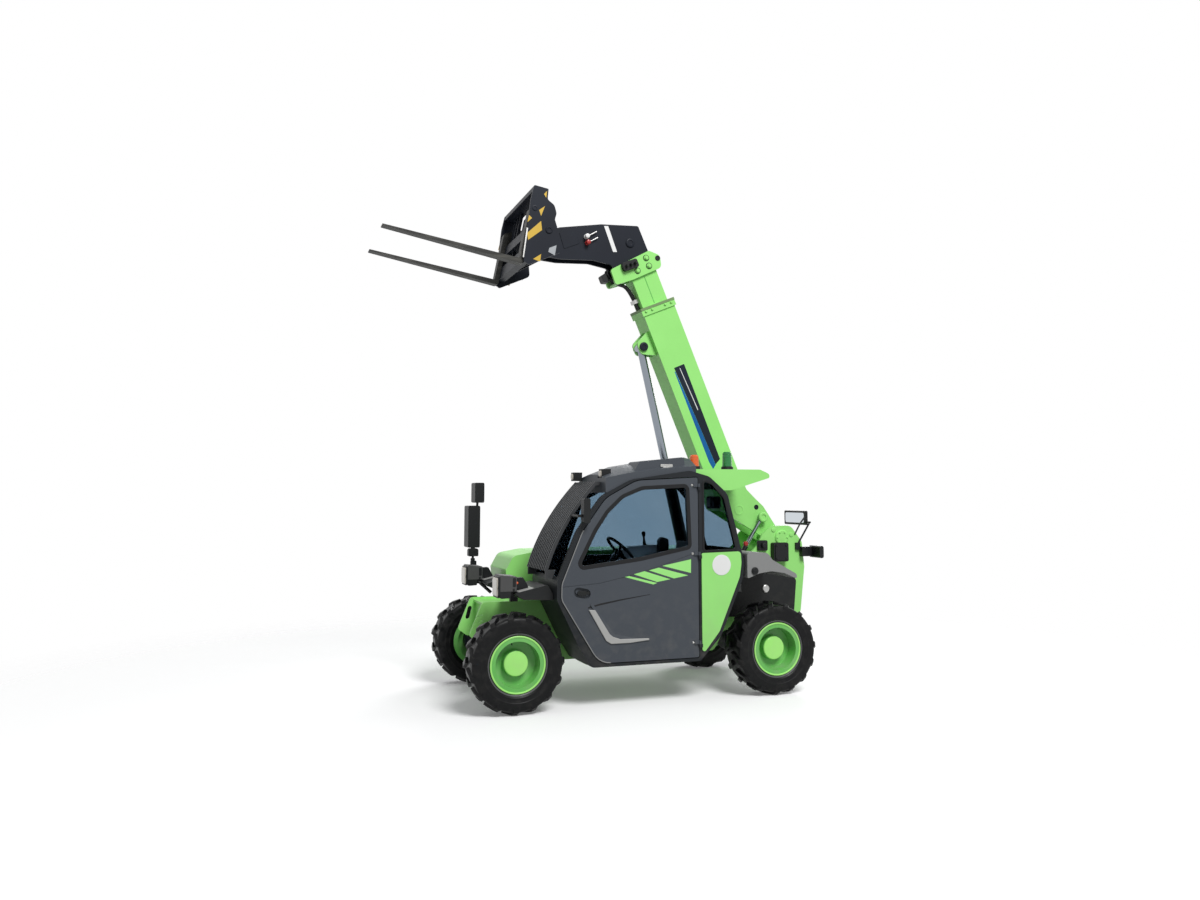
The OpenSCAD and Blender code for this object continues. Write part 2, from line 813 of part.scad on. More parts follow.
// Console with steering column and wheel
console_outline = [[430, floor_top, 0], [500, floor_top, 0], [650, 900, 60], [610, 1060, 40],
    [490, 1060, 60]];
console_half = 150;
column_foot = [490, 1010];
column_tilt = 35;
column_h = 130;
steering_r = 175;
steering_d = 32;
spoke_w = 30;
module steering_wheel() {
    translate([0, 0, column_h - 10])
        rotate_extrude()
            translate([steering_r, 0])
                circle(d = steering_d);
    for (turn = [0, 90])
        rotate([0, 0, turn])
            block([-steering_r, -spoke_w / 2, column_h - 22], [steering_r, spoke_w / 2, column_h - 2]);
}
module console()
    color(black)
        in_frame() {
            prism_y(rounded(console_outline), seat_y - console_half, seat_y + console_half);
            translate([column_foot[0], seat_y, column_foot[1]])
                rotate([0, -column_tilt, 0]) {
                    cylinder(d = 50, h = column_h);
                    steering_wheel();
                }
        }

// Headlamps on the front cowls and two work lamps at the front of the roof
roof_lamp_z = 1970;
roof_lamp = 80;
module headlamps()
    color(black)
        in_frame() {
            block([345, 672, roof_lamp_z], [345 + roof_lamp, 768, roof_lamp_z + roof_lamp]);
            block([roof_front, cab_in + 20, 1950], [roof_front + roof_lamp, cab_in + 110, 1950 + roof_lamp]);
            both_sides()
                prism_y(rounded([[1200, 1000, 0], [1245, 1000, 0], [1250, 950, 10], [1340, 945, 20],
                    [1360, 1035, 10],
                    [1345, 1140, 20], [1200, 1125, 20]]),
                    lamp_y - 100, lamp_y + 100);
        }

module beacon(x, h, tone)
    color(tone)
        in_frame()
            translate([x, 450, fin_top]) {
                cylinder(d = 110, h = 30);
                cylinder(d1 = 96, d2 = 84, h = h - 14);
                translate([0, 0, h - 16])
                    cylinder(d1 = 84, d2 = 60, h = 16);
            }
module beacon_amber() beacon(-614, 146, "orange");
module beacon_green() beacon(-963, 179, "green");

// Head of a mirror: a shell with rounded corners, seen from the side
module mirror_head(x0, x1, y0, y1, z0, z1)
    prism_y(rounded([[x0, z0, mirror_r], [x1, z0, mirror_r], [x1, z1, mirror_r], [x0, z1, mirror_r]]),
        y0, y1);

// Mirror arm between two side-view points
module mirror_arm(a, b, y, d)
    translate([a[0], y, a[1]])
        rotate([0, 90 - slope_of(a, b), 0])
            cylinder(d = d, h = gap_of(a, b) + 6);

mirror_r = 14;
mirror_out = mirror_span / 2;
arm_d = 24;
// Left head on a rail from the guard, two heads on a post at the right, a wide head behind the tower
left_mirror_z = 1640;
post_y = -mirror_out + 170;
post_x = 1240;
upper_head = 200;
main_head = 415;
main_top = mirror_top - upper_head - 30;
rear_mirror_x = -1970;
rear_mirror_z = 1510;
rear_mirror_y = frame_half + 12;
module left_mirror() {
    mirror_head(608, 668, cab_out + 5, mirror_out, left_mirror_z - 60, left_mirror_z + 150);
    bar_y([697, left_mirror_z], arm_d, guard_left, cab_out + 30);
    block([660, cab_out + 15, left_mirror_z - arm_d / 2],
        [697 + arm_d / 2, cab_out + 45, left_mirror_z + arm_d / 2]);
}
module right_mirrors() {
    mirror_head(post_x - 65, post_x + 55, -mirror_out, post_y + 25, main_top - main_head, main_top);
    mirror_head(post_x - 105, post_x - 10, -mirror_out + 15, post_y + 25, mirror_top - upper_head,
        mirror_top);
    block([1075, post_y - 13, 955], [1125, -800, 1005]);
    mirror_arm([1100, 985], [post_x, 1060], post_y, arm_d);
    mirror_arm([post_x, 1060], [post_x, main_top - main_head], post_y, arm_d);
    mirror_arm([post_x, main_top - main_head], [post_x - 50, mirror_top - upper_head / 2], post_y, arm_d);
}
module rear_mirror() {
    mirror_head(rear_mirror_x - 15, rear_mirror_x + 15, -210, 210, rear_mirror_z, rear_mirror_z + 145);
    bar_y([rear_mirror_x, rear_mirror_z + 30], 18, 100, rear_mirror_y + 10);
    mirror_arm([-1825, 1320], [rear_mirror_x, rear_mirror_z + 30], rear_mirror_y, 18);
    block([-1850, frame_half, 1270], [-1800, frame_half + 25, 1340]);
}
module mirrors()
    color(black)
        in_frame() {
            left_mirror();
            right_mirrors();
            rear_mirror();
        }

module rear_lamps()
    color(black)
        in_frame()
            both_sides() {
                prism_y(rounded([[-2005, 1195, 20], [-1960, 1190, 20], [-1960, 1315, 20],
                    [-2005, 1310, 20]]), frame_half + 8, frame_half + 210);
                block([-1961, frame_half, 1205], [-1850, frame_half + 60, 1300]);
            }

// Pressings in the door: an angled moulding, a handle pocket and a belt line
door_face = cab_out + 5;
press_depth = 4;
// Each leg of the moulding runs between two points, and slopes out from its upper edge to its lower edge
mould_top = [584, 880];
mould_knee = [392, 582];
mould_end = [40, 552];
mould_w = 46;
mould_h = 9;
module moulding_leg(a, b, wa, wb) {
    n = left_of(a, b);
    hull() {
        prism_y([a, a + n * wa, b + n * wb, b], door_face - press_depth, door_face);
        prism_y([a, a + n * 3, b + n * 3, b], door_face, door_face + mould_h);
    }
}
door_belt = [[835, 1041], [493, 1064], [121, 1139], [-429, 1309]];
belt_h = 9;
handle_a = [622, 975];
handle_b = [690, 990];
// Door as thick as the cab side, with its window cut
module door()
    color(charcoal)
        in_frame()
            difference() {
                union() {
                    prism_y(rounded(door_outline), door_face - side_t, door_face);
                    moulding_leg(mould_knee, mould_top, mould_w, mould_w * 0.6);
                    moulding_leg(mould_end, mould_knee, mould_w * 0.4, mould_w);
                    for (z = hinge_heights) {
                        block([hinge_x, cab_out + 4, z + run], [hinge_x + 50, hinge_y, z + hinge_h]);
                        translate([hinge_x, hinge_y, z + run])
                            cylinder(d = hinge_d, h = hinge_h - run);
                    }
                }
                prism_y(rounded(door_window), cab_out - side_t, cab_out + 10);
                prism_y(concat(door_belt, [for (i = [len(door_belt) - 1:-1:0]) door_belt[i] - [0, belt_h]]),
                    door_face - press_depth, door_face + 1);
                difference() {
                    prism_y(link_outline(handle_a, handle_b, 42, 42), door_face - 24, door_face + 1);
                    prism_y(link_outline(handle_a - [10, 2], handle_b + [10, 2], 14, 14),
                        door_face - 25, door_face - 6);
                }
                translate([hinge_x, hinge_y, 0])
                    cylinder(d = hinge_pin_d + 2 * run, h = 2000);
            }

module door_glass()
    color(tint)
        in_frame()
            prism_y(rounded(door_window), cab_out - 16, cab_out - 16 + glass_t);

module tube(u0, u1, w, h, wall)
    difference() {
        block([u0, -w / 2, -boom_drop - h / 2], [u1, w / 2, -boom_drop + h / 2]);
        block([u0 - 1, -w / 2 + wall, -boom_drop - h / 2 + wall],
            [u1 + 1, w / 2 - wall, -boom_drop + h / 2 - wall]);
    }

foot_outline = [
    [0, -pivot_d * 0.9, 60], [outer_from + 20, -boom_drop - outer_h / 2, 20],
    [700, -boom_drop - outer_h / 2, 0], [700, -boom_drop + outer_h / 2, 0],
    [560, -boom_drop + outer_h / 2, 60],
    [430, -40, 80], [330, 10, 60], [0, pivot_d * 0.9, 60], [-pivot_d * 0.9, 0, 60]
];

module boom_outer()
    color(paint)
        in_boom()
            difference() {
                union() {
                    tube(outer_from, outer_to, outer_w, outer_h, outer_wall);
                    tube(outer_to - collar_l, outer_to, outer_w + 2 * collar_t, outer_h + 2 * collar_t,
                        collar_t + outer_wall);
                    for (side = [0, 1])
                        mirror([0, side, 0])
                            prism_y(rounded(foot_outline), outer_w / 2 - weld, foot_half);
                    front_pads();
                    lift_bracket();
                }
                bar_y([0, 0], pivot_d + 2 * run, -foot_half - 1, foot_half + 1);
            }

// Wear pads inside the collar that carry the inner tube
module front_pads()
    for (side = [0, 1]) {
        mirror([0, side, 0])
            block([outer_to - pad_l, inner_w / 2 + pad_gap, -boom_drop - 60],
                [outer_to, inner_w / 2 + pad_t + weld, -boom_drop + 60]);
        translate([0, 0, -boom_drop])
            mirror([0, 0, side])
                block([outer_to - pad_l, -60, inner_h / 2 + pad_gap],
                    [outer_to, 60, inner_h / 2 + pad_t + weld]);
    }

// Ears under the outer tube for the rod of the lift cylinder, with stub pins in them
module lift_bracket() {
    low = -boom_drop - outer_h / 2 + weld;
    for (side = [0, 1])
        mirror([0, side, 0]) {
            prism_y(rounded([[lift_pin[0] - 130, low, 0], [lift_pin[0] - 60, lift_pin[1] - 50, 50],
                [lift_pin[0] + 55, lift_pin[1] - 50, 50], [lift_pin[0] + 130, low, 0]]), 52, 77);
            bar_y(lift_pin, lift_pin_d, 52, 90);
        }
}

head_outline = [
    [2930, -boom_drop - inner_h / 2, 0], [2938, -612, 30], [3098, -606, 30], [3150, -146, 40],
    [3070, -50, 50],
    [2950, -80, 50]
];
module boom_inner()
    color(paint)
        in_boom() {
            tube(inner_from, inner_to, inner_w, inner_h, inner_wall);
            for (side = [0, 1])
                mirror([0, side, 0])
                    prism_y(rounded(head_outline), nose_w / 2, nose_w / 2 + 30);
            block([2940, -nose_w / 2, -boom_drop - inner_h / 2 - 180],
                [2960, nose_w / 2, -boom_drop - inner_h / 2 + 1]);
            rear_pads();
        }

// Wear pads at the tail of the inner tube
module rear_pads()
    for (side = [0, 1]) {
        mirror([0, side, 0])
            block([inner_from, inner_w / 2 - weld, -boom_drop - 60],
                [inner_from + pad_l, inner_w / 2 + pad_t - pad_gap, -boom_drop + 60]);
        translate([0, 0, -boom_drop])
            mirror([0, 0, side])
                block([inner_from, -60, inner_h / 2 - weld],
                    [inner_from + pad_l, 60, inner_h / 2 + pad_t - pad_gap]);
    }

// Swan-neck nose that carries the carriage
nose_outline = [
    [2970, -560, 10], [2970, -150, 10], [3150, -141, 10], [3418, -145, 20], [3552, -514, 60],
    [3654, -949, 80],
    [carriage_pin[0] + 70, carriage_pin[1] - 60, 60], [carriage_pin[0] - 70, carriage_pin[1] - 60, 60],
    [3356, -1040, 60], [3244, -730, 60], [3136, -560, 40]
];
module boom_nose()
    color(black)
        in_boom()
            difference() {
                union() {
                    for (side = [0, 1])
                        mirror([0, side, 0])
                            prism_y(rounded(nose_outline), nose_w / 2 - nose_t, nose_w / 2);
                    block([2970, -nose_w / 2, -560], [2990, nose_w / 2, -150]);
                    block([3150, -nose_w / 2, -165], [3410, nose_w / 2, -145]);
                    bar_y(tilt_base, 50, -nose_w / 2, nose_w / 2);
                }
                bar_y(carriage_pin, carriage_pin_d + 2 * run, -nose_w, nose_w);
            }

// Frame of the carriage: forward along the forks and up the shanks, from the fork heel
heel = [1087, 3913];
module in_carriage()
    in_frame()
        translate([heel[0], boom_y, heel[1]])
            rotate([0, -fork_pitch, 0])
                children();
function carriage_point(p) =
    let (d = boom_point(p) - heel)
    [d[0] * cos(fork_pitch) + d[1] * sin(fork_pitch), -d[0] * sin(fork_pitch) + d[1] * cos(fork_pitch)];

// Shaft that the forks hang on, and the height of their shanks
fork_shaft = [-130, 550];
fork_shaft_d = 60;
shank_h = 530;
tip_t = 14;
side_outline = [
    [-45, 0, 20], [10, 20, 10], [58, 600, 60], [52, 742, 10], [-86, 745, 10], [-96, 645, 30], [-170, 610, 60],
    [-205, 540, 60], [-200, 480, 20], [-290, 310, 60], [-322, 196, 40]
];
// Lever inside the nose, fixed to the carriage pin, with a stub pin for the tilt rod
module tilt_lever(pin, rod_pin)
    prism_y(link_outline(pin, rod_pin, 50, 42), 35, 65);

module carriage() {
    half = carriage_w / 2;
    pin = carriage_point(carriage_pin);
    rod_pin = carriage_point(tilt_pin);
    inner = nose_w / 2 + 6;
    color(charcoal)
        in_carriage() {
            for (side = [0, 1])
                mirror([0, side, 0]) {
                    prism_y(rounded(side_outline), half - 25, half);
                    prism_y(rounded([[-60, 60, 20], [-60, 640, 20], [rod_pin[0] - 40, rod_pin[1] + 60, 40],
                        [pin[0] - 70, pin[1] + 20, 60], [pin[0] - 20, pin[1] - 80, 60]]), inner, inner + 25);
                    tilt_lever(pin, rod_pin);
                    bar_y(fork_shaft, fork_shaft_d, inner, half);
                }
            block([-80, -half, 690], [50, half, 740]);
            block([-70, -half, 60], [-run, half, 180]);
            block([-70, -half, 300], [-run, half, 400]);
            bar_y(pin, carriage_pin_d, -inner - 10, inner + 10);
            for (y = [-410, -290, -190, 190, 290, 410])
                block([-60, y - 9, 60], [-30, y + 9, 700]);
        }
}

// A blade, its shank and the eye that hangs on the shaft
fork_outline = [
    [0, 0, 20], [fork_t + fork_len, 0, 4], [fork_t + fork_len, tip_t, 4], [fork_t, fork_t, 10],
    [fork_t, shank_h, 40], [fork_shaft[0] + 20, fork_shaft[1] + 60, 20],
    [fork_shaft[0] - 20, fork_shaft[1] + 60, 30],
    [fork_shaft[0] - 58, fork_shaft[1], 30], [fork_shaft[0] - 20, fork_shaft[1] - 60, 30], [0, 425, 40]
];
module forks()
    color(grey)
        in_carriage()
            for (side = [-1, 1])
                translate([0, side * fork_gap / 2, 0])
                    difference() {
                        prism_y(rounded(fork_outline), -fork_w / 2, fork_w / 2);
                        bar_y(fork_shaft, fork_shaft_d + 2 * run, -fork_w, fork_w);
                    }

// A barrel from its base eye to its gland, and a rod from inside it to its eye
module barrel(d, rod_d, pin_d, length, width) {
    difference() {
        union() {
            translate([pin_d / 2 + 12, 0, 0])
                rotate([0, 90, 0])
                    cylinder(d = d, h = length - pin_d / 2 - 12);
            bar_y([0, 0], pin_d + 40, -width / 2, width / 2);
        }
        bar_y([0, 0], pin_d + 2 * run, -width, width);
        translate([pin_d / 2 + 60, 0, 0])
            rotate([0, 90, 0])
                cylinder(d = rod_d + 2 * run, h = length);
    }
}

module rod(d, from, to, eye_d, width, bore) {
    difference() {
        union() {
            translate([from, 0, 0])
                rotate([0, 90, 0])
                    cylinder(d = d, h = to - from);
            bar_y([to, 0], eye_d, -width / 2, width / 2);
        }
        if (bore > 0)
            bar_y([to, 0], bore, -width, width);
    }
}

lift_len = gap_of(lift_base, boom_point(lift_pin));
module lift_barrel()
    color(black)
        along(lift_base, boom_point(lift_pin), boom_y)
            barrel(lift_d, lift_rod_d, lift_pin_d, 1290, 90);
module lift_rod()
    color(steel)
        along(lift_base, boom_point(lift_pin), boom_y)
            rod(lift_rod_d, lift_len - 1390, lift_len, 100, 92, lift_pin_d);

level_len = gap_of(level_base, boom_point(level_pin));
module level_barrel()
    color(black)
        along(level_base, boom_point(level_pin), level_y)
            barrel(level_d, level_rod_d, level_pin_d, 410, 50);
module level_rod()
    color(steel)
        along(level_base, boom_point(level_pin), level_y)
            rod(level_rod_d, level_len - 370, level_len, 66, 50, 0);

tilt_len = gap_of(tilt_base, tilt_pin);
module tilt_frame()
    in_boom()
        translate([tilt_base[0], 0, tilt_base[1]])
            rotate([0, -slope_of(tilt_base, tilt_pin), 0])
                children();
module tilt_barrel()
    color(black)
        tilt_frame()
            barrel(tilt_d, tilt_rod_d, 50, 600, 80);
module tilt_rod()
    color(steel)
        tilt_frame()
            rod(tilt_rod_d, tilt_len - 500, tilt_len, 90, 60, 50);

chassis();
front_axle();
rear_axle();
power_block();
hood_right();
hood_lid();
rear_cowl();
arch_liner();
front_cowl();
cab_frame();
cab_roof();
roof_fin();
quarter_panel();
windscreen();
cab_glass();
windscreen_guard();
seat();
console();
headlamps();
beacon_amber();
beacon_green();
mirrors();
rear_lamps();
door();
door_glass();
boom_outer();
boom_inner();
boom_nose();
carriage();
forks();
lift_barrel();
lift_rod();
level_barrel();
level_rod();
tilt_barrel();
tilt_rod();
knuckle_fl();
knuckle_fr();
knuckle_rl();
knuckle_rr();
rim_fl();
rim_fr();
rim_rl();
rim_rr();
tyre_fl();
tyre_fr();
tyre_rl();
tyre_rr();
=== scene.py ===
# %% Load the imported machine
import json
import math

import bmesh
import bpy
from mathutils import Matrix, Vector


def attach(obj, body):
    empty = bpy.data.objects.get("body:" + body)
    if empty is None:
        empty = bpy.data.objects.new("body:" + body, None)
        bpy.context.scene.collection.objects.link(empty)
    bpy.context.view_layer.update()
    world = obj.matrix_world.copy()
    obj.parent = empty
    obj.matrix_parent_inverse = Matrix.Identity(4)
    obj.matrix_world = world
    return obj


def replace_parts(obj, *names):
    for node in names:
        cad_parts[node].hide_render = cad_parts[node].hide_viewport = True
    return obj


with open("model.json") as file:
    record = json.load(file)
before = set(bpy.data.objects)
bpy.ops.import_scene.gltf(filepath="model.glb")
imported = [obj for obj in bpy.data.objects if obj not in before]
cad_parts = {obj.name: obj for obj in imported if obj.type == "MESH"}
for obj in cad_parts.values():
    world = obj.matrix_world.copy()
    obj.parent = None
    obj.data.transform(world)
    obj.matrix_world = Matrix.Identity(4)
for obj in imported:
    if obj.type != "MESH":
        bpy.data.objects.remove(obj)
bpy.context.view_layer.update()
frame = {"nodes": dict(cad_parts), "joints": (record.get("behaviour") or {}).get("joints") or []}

nodes = frame["nodes"]
joints = {joint["name"]: joint for joint in frame["joints"]}

# %% [markdown]
# The machine is a compact telescopic handler: a steel frame on four wheels, a cab beside a long boom, and
# forks at the boom's head. Every place below is given as a maker would give it, in millimetres from the
# middle of the wheelbase, with x forwards, y to the cab's side and z up from the ground. The middle of the
# wheelbase is read from the wheels' own joints, so that the dressing follows the solids. The boom and the
# carriage slope, so each has its own way to say where a point is: along it, to its left and up from it.

# %% Places on the machine
MM = 0.001
LEFT, UP = Vector((0, 1, 0)), Vector((0, 0, 1))
FORK_PITCH = math.radians(11)
wheel_at = {corner: Vector(joints["spin_" + corner]["pos_m"]) for corner in ("fl", "fr", "rl", "rr")}
mid_x = (wheel_at["fl"].x + wheel_at["rl"].x) / 2


def at(x, y, z):
    """A point of the whole machine, from millimetres to the frame's metres."""
    return Vector((mid_x + x * MM, y * MM, z * MM))


def sloping(origin, along):
    """A place function for what slopes: along it, to its left and up from it, in millimetres."""
    up = Vector((-along.z, 0, along.x))

    def place(u, y, w):
        return origin + along * (u * MM) + LEFT * (y * MM) + up * (w * MM)

    return place


boom_dir = Vector(joints["telescope"]["axis"]).normalized()
on_boom = sloping(Vector(joints["boom_lift"]["pos_m"]), boom_dir)
fork_heel = at(1087, -50, 3913)
on_carriage = sloping(fork_heel, Vector((math.cos(FORK_PITCH), 0, math.sin(FORK_PITCH))))
print("middle of the wheelbase", round(mid_x, 3), "boom slope", round(math.degrees(math.asin(boom_dir.z)), 1))

# %% [markdown]
# The picture was taken standing in front of the machine on its left, a little above waist height, looking
# slightly up at the raised boom. A camera is a place, a direction and a lens. The shift slides the picture
# on the sensor, which keeps the uprights as they are and only moves the framing.

# %% Camera
CAMERA_PLACE = (3398, 9237, 1821)
CAMERA_YAW = 4.3571
CAMERA_PITCH = 0.1004
CAMERA_ROLL = -0.0022
CAMERA_LENS = 30.245
CAMERA_SHIFT = (-0.0167, -0.0473)


def new_object(name, data):
    """An object that shows the data, linked into the scene."""
    made = bpy.data.objects.new(name, data)
    bpy.context.scene.collection.objects.link(made)
    return made


def aim(thing, place, sight, roll=0.0):
    """Stands a camera or a lamp at a place and turns it along a line of sight."""
    thing.location = place
    thing.rotation_mode = "QUATERNION"
    thing.rotation_quaternion = sight.to_track_quat("-Z", "Y") @ Matrix.Rotation(roll, 3, "Z").to_quaternion()


camera_data = bpy.data.cameras.new("photo_camera")
camera_data.sensor_width = 36
camera_data.lens = CAMERA_LENS
camera_data.shift_x, camera_data.shift_y = CAMERA_SHIFT
camera = new_object("photo_camera", camera_data)
level = math.cos(CAMERA_PITCH)
camera_sight = Vector((math.cos(CAMERA_YAW) * level, math.sin(CAMERA_YAW) * level, math.sin(CAMERA_PITCH)))
aim(camera, at(*CAMERA_PLACE), camera_sight, CAMERA_ROLL)
bpy.context.scene.camera = camera
print("camera", tuple(round(v, 3) for v in camera.location))

# %% [markdown]
# A finish is a small graph of nodes that feeds one shader. Writing the sums of that graph as Python
# expressions keeps them readable, so one class wraps a socket and lets it be added, taken away and
# multiplied. Another holds a graph while it is made, and a third is the graph of a material. Numbers alone
# are worked out by Python and add no node.

# %% Sums on sockets


class Wire:
    """An output socket of a graph that takes part in Python sums."""

    def __init__(self, graph, socket):
        self.graph = graph
        self.socket = socket

    def math(self, operation, *values):
        return self.graph.node("ShaderNodeMath", {"operation": operation}, dict(enumerate(values)))

    def __add__(self, other):
        return self.math("ADD", self, other)

    def __radd__(self, other):
        return self.math("ADD", other, self)

    def __sub__(self, other):
        return self.math("SUBTRACT", self, other)

    def __rsub__(self, other):
        return self.math("SUBTRACT", other, self)

    def __mul__(self, other):
        return self.math("MULTIPLY", self, other)

    def __rmul__(self, other):
        return self.math("MULTIPLY", other, self)

    def ramp(self, low, high):
        """0 below low, 1 above high and even between them."""
        return self.graph.node("ShaderNodeMapRange", {"clamp": True}, {0: self, 1: low, 2: high})


class Graph:
    """The shader nodes of a material or of the sky, while they are made."""

    def __init__(self, owner):
        owner.use_nodes = True
        self.tree = owner.node_tree
        self.tree.nodes.clear()

    def feed(self, socket, value):
        """Gives a socket a link from a wire, or a value. A colour is three numbers."""
        if isinstance(value, Wire):
            self.tree.links.new(value.socket, socket)
        else:
            socket.default_value = (*value, 1.0) if socket.type == "RGBA" else value

    def node(self, kind, settings=None, sockets=None, out=0):
        """Any node: its settings are set first, then its sockets are given values or links."""
        made = self.tree.nodes.new(kind)
        for key, value in (settings or {}).items():
            setattr(made, key, value)
        for key, value in (sockets or {}).items():
            self.feed(made.inputs[key], value)
        return Wire(self, made.outputs[out])


class Finish(Graph):
    """A material under construction, with its one shader."""

    def __init__(self, name):
        self.material = bpy.data.materials.new(name)
        super().__init__(self.material)
        self.shader = self.tree.nodes.new("ShaderNodeBsdfPrincipled")
        self.output = self.tree.nodes.new("ShaderNodeOutputMaterial")
        self.tree.links.new(self.shader.outputs[0], self.output.inputs[0])

    def place(self):
        """Where a point lies on the machine at rest, in metres."""
        return self.node("ShaderNodeTexCoord", out=3)

    def noise(self, scale, detail=3.0, vector=None):
        sockets = {"Scale": scale, "Detail": detail, "Vector": vector or self.place()}
        return self.node("ShaderNodeTexNoise", {}, sockets)

    def mix(self, factor, first, second):
        settings = {"data_type": "RGBA", "clamp_factor": True}
        return self.node("ShaderNodeMix", settings, {0: factor, 6: first, 7: second}, out=2)

    def bump(self, height, strength, distance):
        return self.node("ShaderNodeBump", {}, {"Height": height, "Strength": strength, "Distance": distance})

    def shade(self, **sockets):
        """Sets sockets of the shader, whose names have _ for each space, and gives the material."""
        for key, value in sockets.items():
            self.feed(self.shader.inputs[key.replace("_", " ")], value)
        return self.material


print("sums ready")

# %% [markdown]
# The frame, boom and fin wear a light green machine enamel. Fresh enamel is glossy with a faint orange-peel
# ripple, a little uneven in tone, and road dust settles on it near the ground. A painted picture could show
# that, but it would have to be unwrapped over every panel. Noise at three sizes gives the ripple, the tone
# and the patches of dust everywhere, and the height of a point says how much dust it takes.

# %% Enamels
DUST = (0.36, 0.33, 0.28)
DUST_TOP = 1.1


def road_dust(made, patches, bottom, amount):
    """How much dust a point carries: patches that thin out with its height."""
    height = made.node("ShaderNodeSeparateXYZ", {}, {0: made.place()}, out=2)
    return patches * (1 - height.ramp(bottom, DUST_TOP)) * amount


def enamel(name, colour, shadow, gloss, dust, lacquer=0.25):
    """Glossy machine paint of one colour, with a darker tone in patches and dust low down."""
    made = Finish(name)
    tone = made.mix(made.noise(2.2, 4.0).ramp(0.35, 0.65), shadow, colour)
    dirt = road_dust(made, made.noise(9.0, 6.0).ramp(0.42, 0.72), 0.1, dust)
    return made.shade(
        Base_Color=made.mix(dirt, tone, DUST),
        Roughness=gloss + dirt * 0.4 + made.noise(14.0) * 0.08,
        Specular_IOR_Level=0.1 + lacquer,
        Coat_Weight=lacquer - dirt * lacquer,
        Coat_Roughness=0.15,
        Normal=made.bump(made.noise(260.0, 1.0), 0.04, 0.001),
    )


frame_green = enamel("frame_green", (0.322, 0.765, 0.205), (0.302, 0.725, 0.190), 0.32, 0.30, 0.10)
# The rim dish's darker green is painted shade; the inner tube's seam line wears it too.
rim_green = enamel("rim_green", (0.150, 0.520, 0.105), (0.115, 0.440, 0.080), 0.28, 0.35)
dark_enamel = enamel("dark_enamel", (0.013, 0.016, 0.024), (0.010, 0.012, 0.018), 0.40, 0.30, 0.02)
barrel_black = enamel("barrel_black", (0.012, 0.013, 0.015), (0.009, 0.009, 0.010), 0.34, 0.20, 0.10)
# The hub caps' and rim lips' lighter green is painted light.
cap_and_lip_light_green = enamel("cap_and_lip_light_green", (0.400, 0.880, 0.210), (0.350, 0.810, 0.180), 0.28, 0.15)
hazard_yellow = enamel("hazard_yellow", (0.620, 0.400, 0.030), (0.540, 0.340, 0.025), 0.38, 0.20)
stripe_green = enamel("stripe_green", (0.335, 0.800, 0.220), (0.315, 0.760, 0.200), 0.34, 0.10)
band_navy = enamel("band_navy", (0.006, 0.012, 0.024), (0.004, 0.009, 0.018), 0.34, 0.10, 0.08)
band_blue = enamel("band_blue", (0.006, 0.130, 0.400), (0.004, 0.095, 0.310), 0.34, 0.10, 0.10)
sign_white = enamel("sign_white", (0.800, 0.800, 0.790), (0.760, 0.760, 0.750), 0.40, 0.10)
coupler_red = enamel("coupler_red", (0.380, 0.020, 0.018), (0.320, 0.014, 0.012), 0.36, 0.10)
flange_shade_olive = enamel("flange_shade_olive", (0.200, 0.310, 0.140), (0.170, 0.270, 0.115), 0.45, 0.20, 0.05)
plate_grey = enamel("plate_grey", (0.420, 0.420, 0.410), (0.350, 0.350, 0.340), 0.42, 0.20, 0.10)
print("enamels from", frame_green.name, "to", plate_grey.name)

# %% [markdown]
# The cab shell, the door, the cowls and the trim are moulded or powder-coated, from black to grey, with a
# fine pebble that breaks the gloss. The pebble is too fine to be worth modelling. Two noises make it and
# the slow change of sheen that hands and rain leave on it.

# %% Moulded plastics


def moulded(name, colour, shadow, pebble, dust=0.12, shine=0.35):
    """Pebbled plastic or powder coat, dull where it has weathered."""
    made = Finish(name)
    worn = made.noise(1.4).ramp(0.30, 0.75)
    dirt = road_dust(made, made.noise(11.0, 5.0).ramp(0.45, 0.75), 0.15, dust)
    return made.shade(
        Base_Color=made.mix(dirt, made.mix(worn, colour, shadow), DUST),
        Roughness=0.44 + worn * 0.08 + dirt * 0.3,
        Specular_IOR_Level=shine,
        Normal=made.bump(made.noise(850.0, 2.0), pebble, 0.0008),
    )


cab_charcoal = moulded("cab_charcoal", (0.050, 0.058, 0.070), (0.044, 0.051, 0.062), 0.08)
cowl_grey = moulded("cowl_grey", (0.240, 0.242, 0.240), (0.210, 0.212, 0.212), 0.12)
trim_black = moulded("trim_black", (0.007, 0.008, 0.009), (0.005, 0.006, 0.006), 0.12, 0.10, 0.25)
seal_black = moulded("seal_black", (0.005, 0.006, 0.007), (0.004, 0.004, 0.005), 0.06, 0.08, 0.25)
lamp_grey = moulded("lamp_grey", (0.060, 0.060, 0.060), (0.048, 0.048, 0.048), 0.12)
pillar_black = moulded("pillar_black", (0.009, 0.011, 0.014), (0.007, 0.009, 0.011), 0.08, 0.12, 0.25)
guard_grey = moulded("guard_grey", (0.040, 0.042, 0.045), (0.030, 0.032, 0.034), 0.08, 0.05)
console_grey = moulded("console_grey", (0.330, 0.335, 0.345), (0.280, 0.285, 0.295), 0.10)
print("plastics from", cab_charcoal.name, "to", console_grey.name)

# %% [markdown]
# Rubber is nearly black and dull. Its flanks keep a little sheen, while dust and stone scuffs turn it brown
# in patches, mostly where it meets the ground, so a coarse noise mixes the dust in. The ring that the rim
# presses on is a lighter grey than the rest: a painted highlight.

# %% Rubber
SCUFF = (0.040, 0.038, 0.035)


def rubber(name, colour, shine):
    made = Finish(name)
    scuff = made.noise(18.0, 6.0).ramp(0.48, 0.80)
    return made.shade(
        Base_Color=made.mix(scuff * 0.30, colour, SCUFF),
        Roughness=0.34 + scuff * 0.35,
        Specular_IOR_Level=shine,
        Normal=made.bump(made.noise(420.0), 0.12, 0.001),
    )


